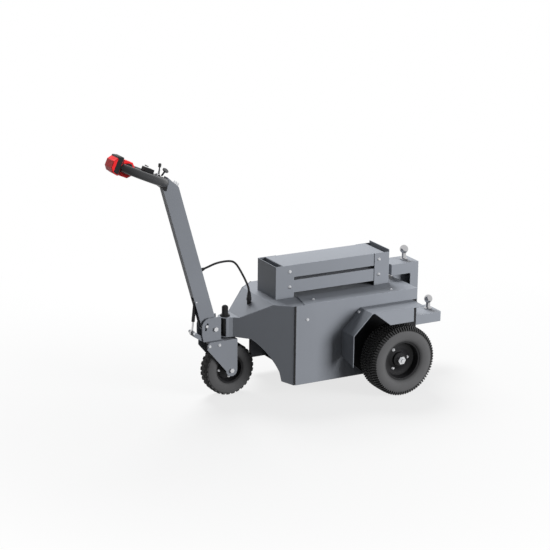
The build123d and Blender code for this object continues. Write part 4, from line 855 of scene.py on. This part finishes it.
class TUG_OT_cable(bpy.types.Operator):
    """Control cable from the arm over the kingpin to the hood, with a boot at each end"""

    bl_idname = "tug.cable"
    bl_label = "Cable"

    def execute(self, context):
        radius = context.scene.tug_sizes.cable / 2
        top = Vector(((KINGPIN_LOW.x + KINGPIN_HIGH.x) / 2, 0, CABLE_UP_HIGH.z - radius))
        arm = Vector((CABLE_UP_HIGH.x - radius * sin(ARM_LEAN), 0, CABLE_UP_LOW.z + radius * cos(ARM_LEAN)))
        gland = Vector(((GLAND_LOW.x + GLAND_HIGH.x) / 2, 0, GLAND_HIGH.z))
        leave = Vector((-cos(ARM_LEAN), 0, sin(ARM_LEAN)))
        upper = [
            arm,
            arm + 42 * MM * leave,
            top + Vector((47, 0, 0)) * MM,
            top,
        ]
        lower = [
            top,
            top + Vector((-34, 0, 0)) * MM,
            top + Vector((-68.6, 0, -20)) * MM,
            top + Vector((-111, 0, -93.6)) * MM,
            gland + Vector((13.5, 0, 70.3)) * MM,
            gland + Vector((0, 0, 32.3)) * MM,
            gland,
        ]
        for name, route, bodies, node in (
            ("control_cable_upper", upper, ("tiller", "steer"), "cable_upper"),
            ("control_cable_lower", lower, ("steer", "chassis"), "cable_lower"),
        ):
            bm, path = tube(name, route, radius)
            bmesh.ops.recalc_face_normals(bm, faces=bm.faces)
            mesh = bpy.data.meshes.new(name)
            bm.to_mesh(mesh)
            bm.free()
            for polygon in mesh.polygons:
                polygon.use_smooth = True
            cable = bpy.data.objects.new(name, mesh)
            context.scene.collection.objects.link(cable)
            mesh.materials.append(finishes()["cable"])
            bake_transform(cable)
            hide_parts(node)
        ribs = [
            (0, 0), (0, 11.5), (4, 11.5), (5, 9.8), (8, 9.8), (9, 10.4), (11, 10.4), (12, 8.6), (15, 8.6),
            (16, 9.2), (18, 9.2), (19, 7.6), (23, 7.4), (24, 6.4), (24, 0),
        ]
        for name, point, axis, body in (
            ("gland_boot", gland, (0, 0, 1), "chassis"),
            ("arm_boot", arm, leave, "tiller"),
        ):
            bm = bmesh.new()
            lathe(bm, in_mm(ribs), facing(point, axis), 32)
            piece(name, bm, "black_plastic", body)
        return {"FINISHED"}


class TUG_OT_stage(bpy.types.Operator):
    """Floor, soft light and the camera"""

    bl_idname = "tug.stage"
    bl_label = "Stage"

    def execute(self, context):
        self.lay_floor(context.scene)
        self.light_world(context.scene)
        self.hang_lamps(context.scene)
        self.aim_camera(context.scene)
        context.scene.view_settings.view_transform = "Standard"
        return {"FINISHED"}

    def lay_floor(self, scene):
        """White floor that takes a faint shadow near the tug and throws little light back."""
        shadow_share, floor_half = 0.24, 30.0
        shaded, dark = (0.44, 0.44, 0.44), (0.06, 0.06, 0.06)
        finish = Finish("studio_floor")
        glossy, through, direct = (
            finish.node("ShaderNodeLightPath", output=f"Is {ray} Ray")
            for ray in ("Glossy", "Transmission", "Camera")
        )
        seen = (direct + glossy + through).clamped()
        reach = finish.node("ShaderNodeVectorMath", {"operation": "LENGTH"}, {0: finish.place}, "Value")
        near = (1.5 - 0.55 * reach).clamped()
        white = finish.node("ShaderNodeEmission", None, {"Color": (1, 1, 1), "Strength": 1.0})
        lit = finish.node("ShaderNodeBsdfDiffuse", None, {"Color": shaded})
        dull = finish.node("ShaderNodeBsdfDiffuse", None, {"Color": dark})
        pale = finish.node("ShaderNodeMixShader", None, {0: shadow_share * near, 1: white, 2: lit})
        floor_mix = finish.node("ShaderNodeMixShader", None, {0: seen, 1: dull, 2: pale})
        finish.put(finish.output.inputs["Surface"], floor_mix)
        bm = bmesh.new()
        bmesh.ops.create_grid(bm, x_segments=1, y_segments=1, size=floor_half)
        mesh = bpy.data.meshes.new("studio_floor")
        bm.to_mesh(mesh)
        bm.free()
        mesh.materials.append(finish.material)
        floor = bpy.data.objects.new("studio_floor", mesh)
        scene.collection.objects.link(floor)

    def light_world(self, scene):
        """Soft sky for the diffuse light, plain white for what is seen directly or in a reflection."""
        sky_colour, sky_strength = (0.95, 0.97, 1.0, 1.0), 0.21
        world = bpy.data.worlds.new("studio")
        scene.world = world
        world.use_nodes = True
        tree = world.node_tree
        tree.nodes.clear()
        rays = tree.nodes.new("ShaderNodeLightPath")
        soft = tree.nodes.new("ShaderNodeBackground")
        soft.inputs["Color"].default_value = sky_colour
        soft.inputs["Strength"].default_value = sky_strength
        plain = tree.nodes.new("ShaderNodeBackground")
        plain.inputs["Color"].default_value = (1, 1, 1, 1)
        plain.inputs["Strength"].default_value = 1.0
        either = tree.nodes.new("ShaderNodeMath")
        either.operation = "MAXIMUM"
        glossy = tree.nodes.new("ShaderNodeMath")
        glossy.operation = "MAXIMUM"
        tree.links.new(rays.outputs["Is Glossy Ray"], glossy.inputs[0])
        tree.links.new(rays.outputs["Is Transmission Ray"], glossy.inputs[1])
        tree.links.new(rays.outputs["Is Camera Ray"], either.inputs[0])
        tree.links.new(glossy.outputs[0], either.inputs[1])
        mix = tree.nodes.new("ShaderNodeMixShader")
        tree.links.new(either.outputs[0], mix.inputs[0])
        tree.links.new(soft.outputs[0], mix.inputs[1])
        tree.links.new(plain.outputs[0], mix.inputs[2])
        output = tree.nodes.new("ShaderNodeOutputWorld")
        tree.links.new(mix.outputs[0], output.inputs["Surface"])

    def hang_lamps(self, scene):
        """Low soft box at the left rear and a high one on the right, both hidden in reflections."""
        size, aim = 2.6, Vector((0, 0, 0.5))
        for name, place, power in (
            ("key_box", Vector((-3.4, 4.6, 1.5)), scene.tug_stage.key),
            ("fill_box", Vector((-0.7, -3.1, 4.1)), scene.tug_stage.fill),
        ):
            light = bpy.data.lights.new(name, "AREA")
            light.energy = power
            light.size = size
            lamp = bpy.data.objects.new(name, light)
            lamp.location = place
            lamp.rotation_euler = (aim - place).to_track_quat("-Z", "Y").to_euler()
            lamp.visible_glossy = False
            scene.collection.objects.link(lamp)

    def aim_camera(self, scene):
        """Camera fitted to the photo: its place, aim, roll and sideways shift."""
        place = Vector((REAR_AXLE.x + 5.539, 9.168, 3.742))
        target = Vector((REAR_AXLE.x + 0.5947, 0.0, 0.6559))
        roll, shift = radians(0.64), 0.0091
        data = bpy.data.cameras.new("camera")
        data.sensor_width = 36.0
        data.lens = scene.tug_stage.focal
        data.shift_x = shift
        data.clip_end = 100.0
        camera = bpy.data.objects.new("camera", data)
        turn = (target - place).to_track_quat("-Z", "Y").to_matrix().to_4x4()
        camera.matrix_world = Matrix.Translation(place) @ turn @ Matrix.Rotation(roll, 4, "Z")
        scene.collection.objects.link(camera)
        scene.camera = camera


STEPS = (
    TUG_OT_stage,
    TUG_OT_finish_nodes,
    TUG_OT_cable,
    TUG_OT_drive_tyres,
    TUG_OT_front_tyre,
    TUG_OT_rims,
    TUG_OT_cover_bolts,
    TUG_OT_tow_balls,
    TUG_OT_tiller_head,
    TUG_OT_grips,
)


class TUG_PT_panel(bpy.types.Panel):
    """Steps that dress the tug"""

    bl_label = "Tow Tug"
    bl_idname = "TUG_PT_panel"
    bl_space_type = "VIEW_3D"
    bl_region_type = "UI"
    bl_category = "Tow Tug"

    def draw(self, context):
        for step in STEPS:
            self.layout.operator(step.bl_idname)


GROUPS = (("tug_colours", TugColours), ("tug_sizes", TugSizes), ("tug_stage", TugStage))


def register():
    for name, group in GROUPS:
        bpy.utils.register_class(group)
        setattr(bpy.types.Scene, name, bpy.props.PointerProperty(type=group))
    for step in STEPS:
        bpy.utils.register_class(step)
    bpy.utils.register_class(TUG_PT_panel)


def unregister():
    bpy.utils.unregister_class(TUG_PT_panel)
    for step in reversed(STEPS):
        bpy.utils.unregister_class(step)
    for name, group in reversed(GROUPS):
        delattr(bpy.types.Scene, name)
        bpy.utils.unregister_class(group)


def main():
    register()
    for step in STEPS:
        family, name = step.bl_idname.split(".")
        getattr(getattr(bpy.ops, family), name)()


if __name__ == "__main__":
    main()
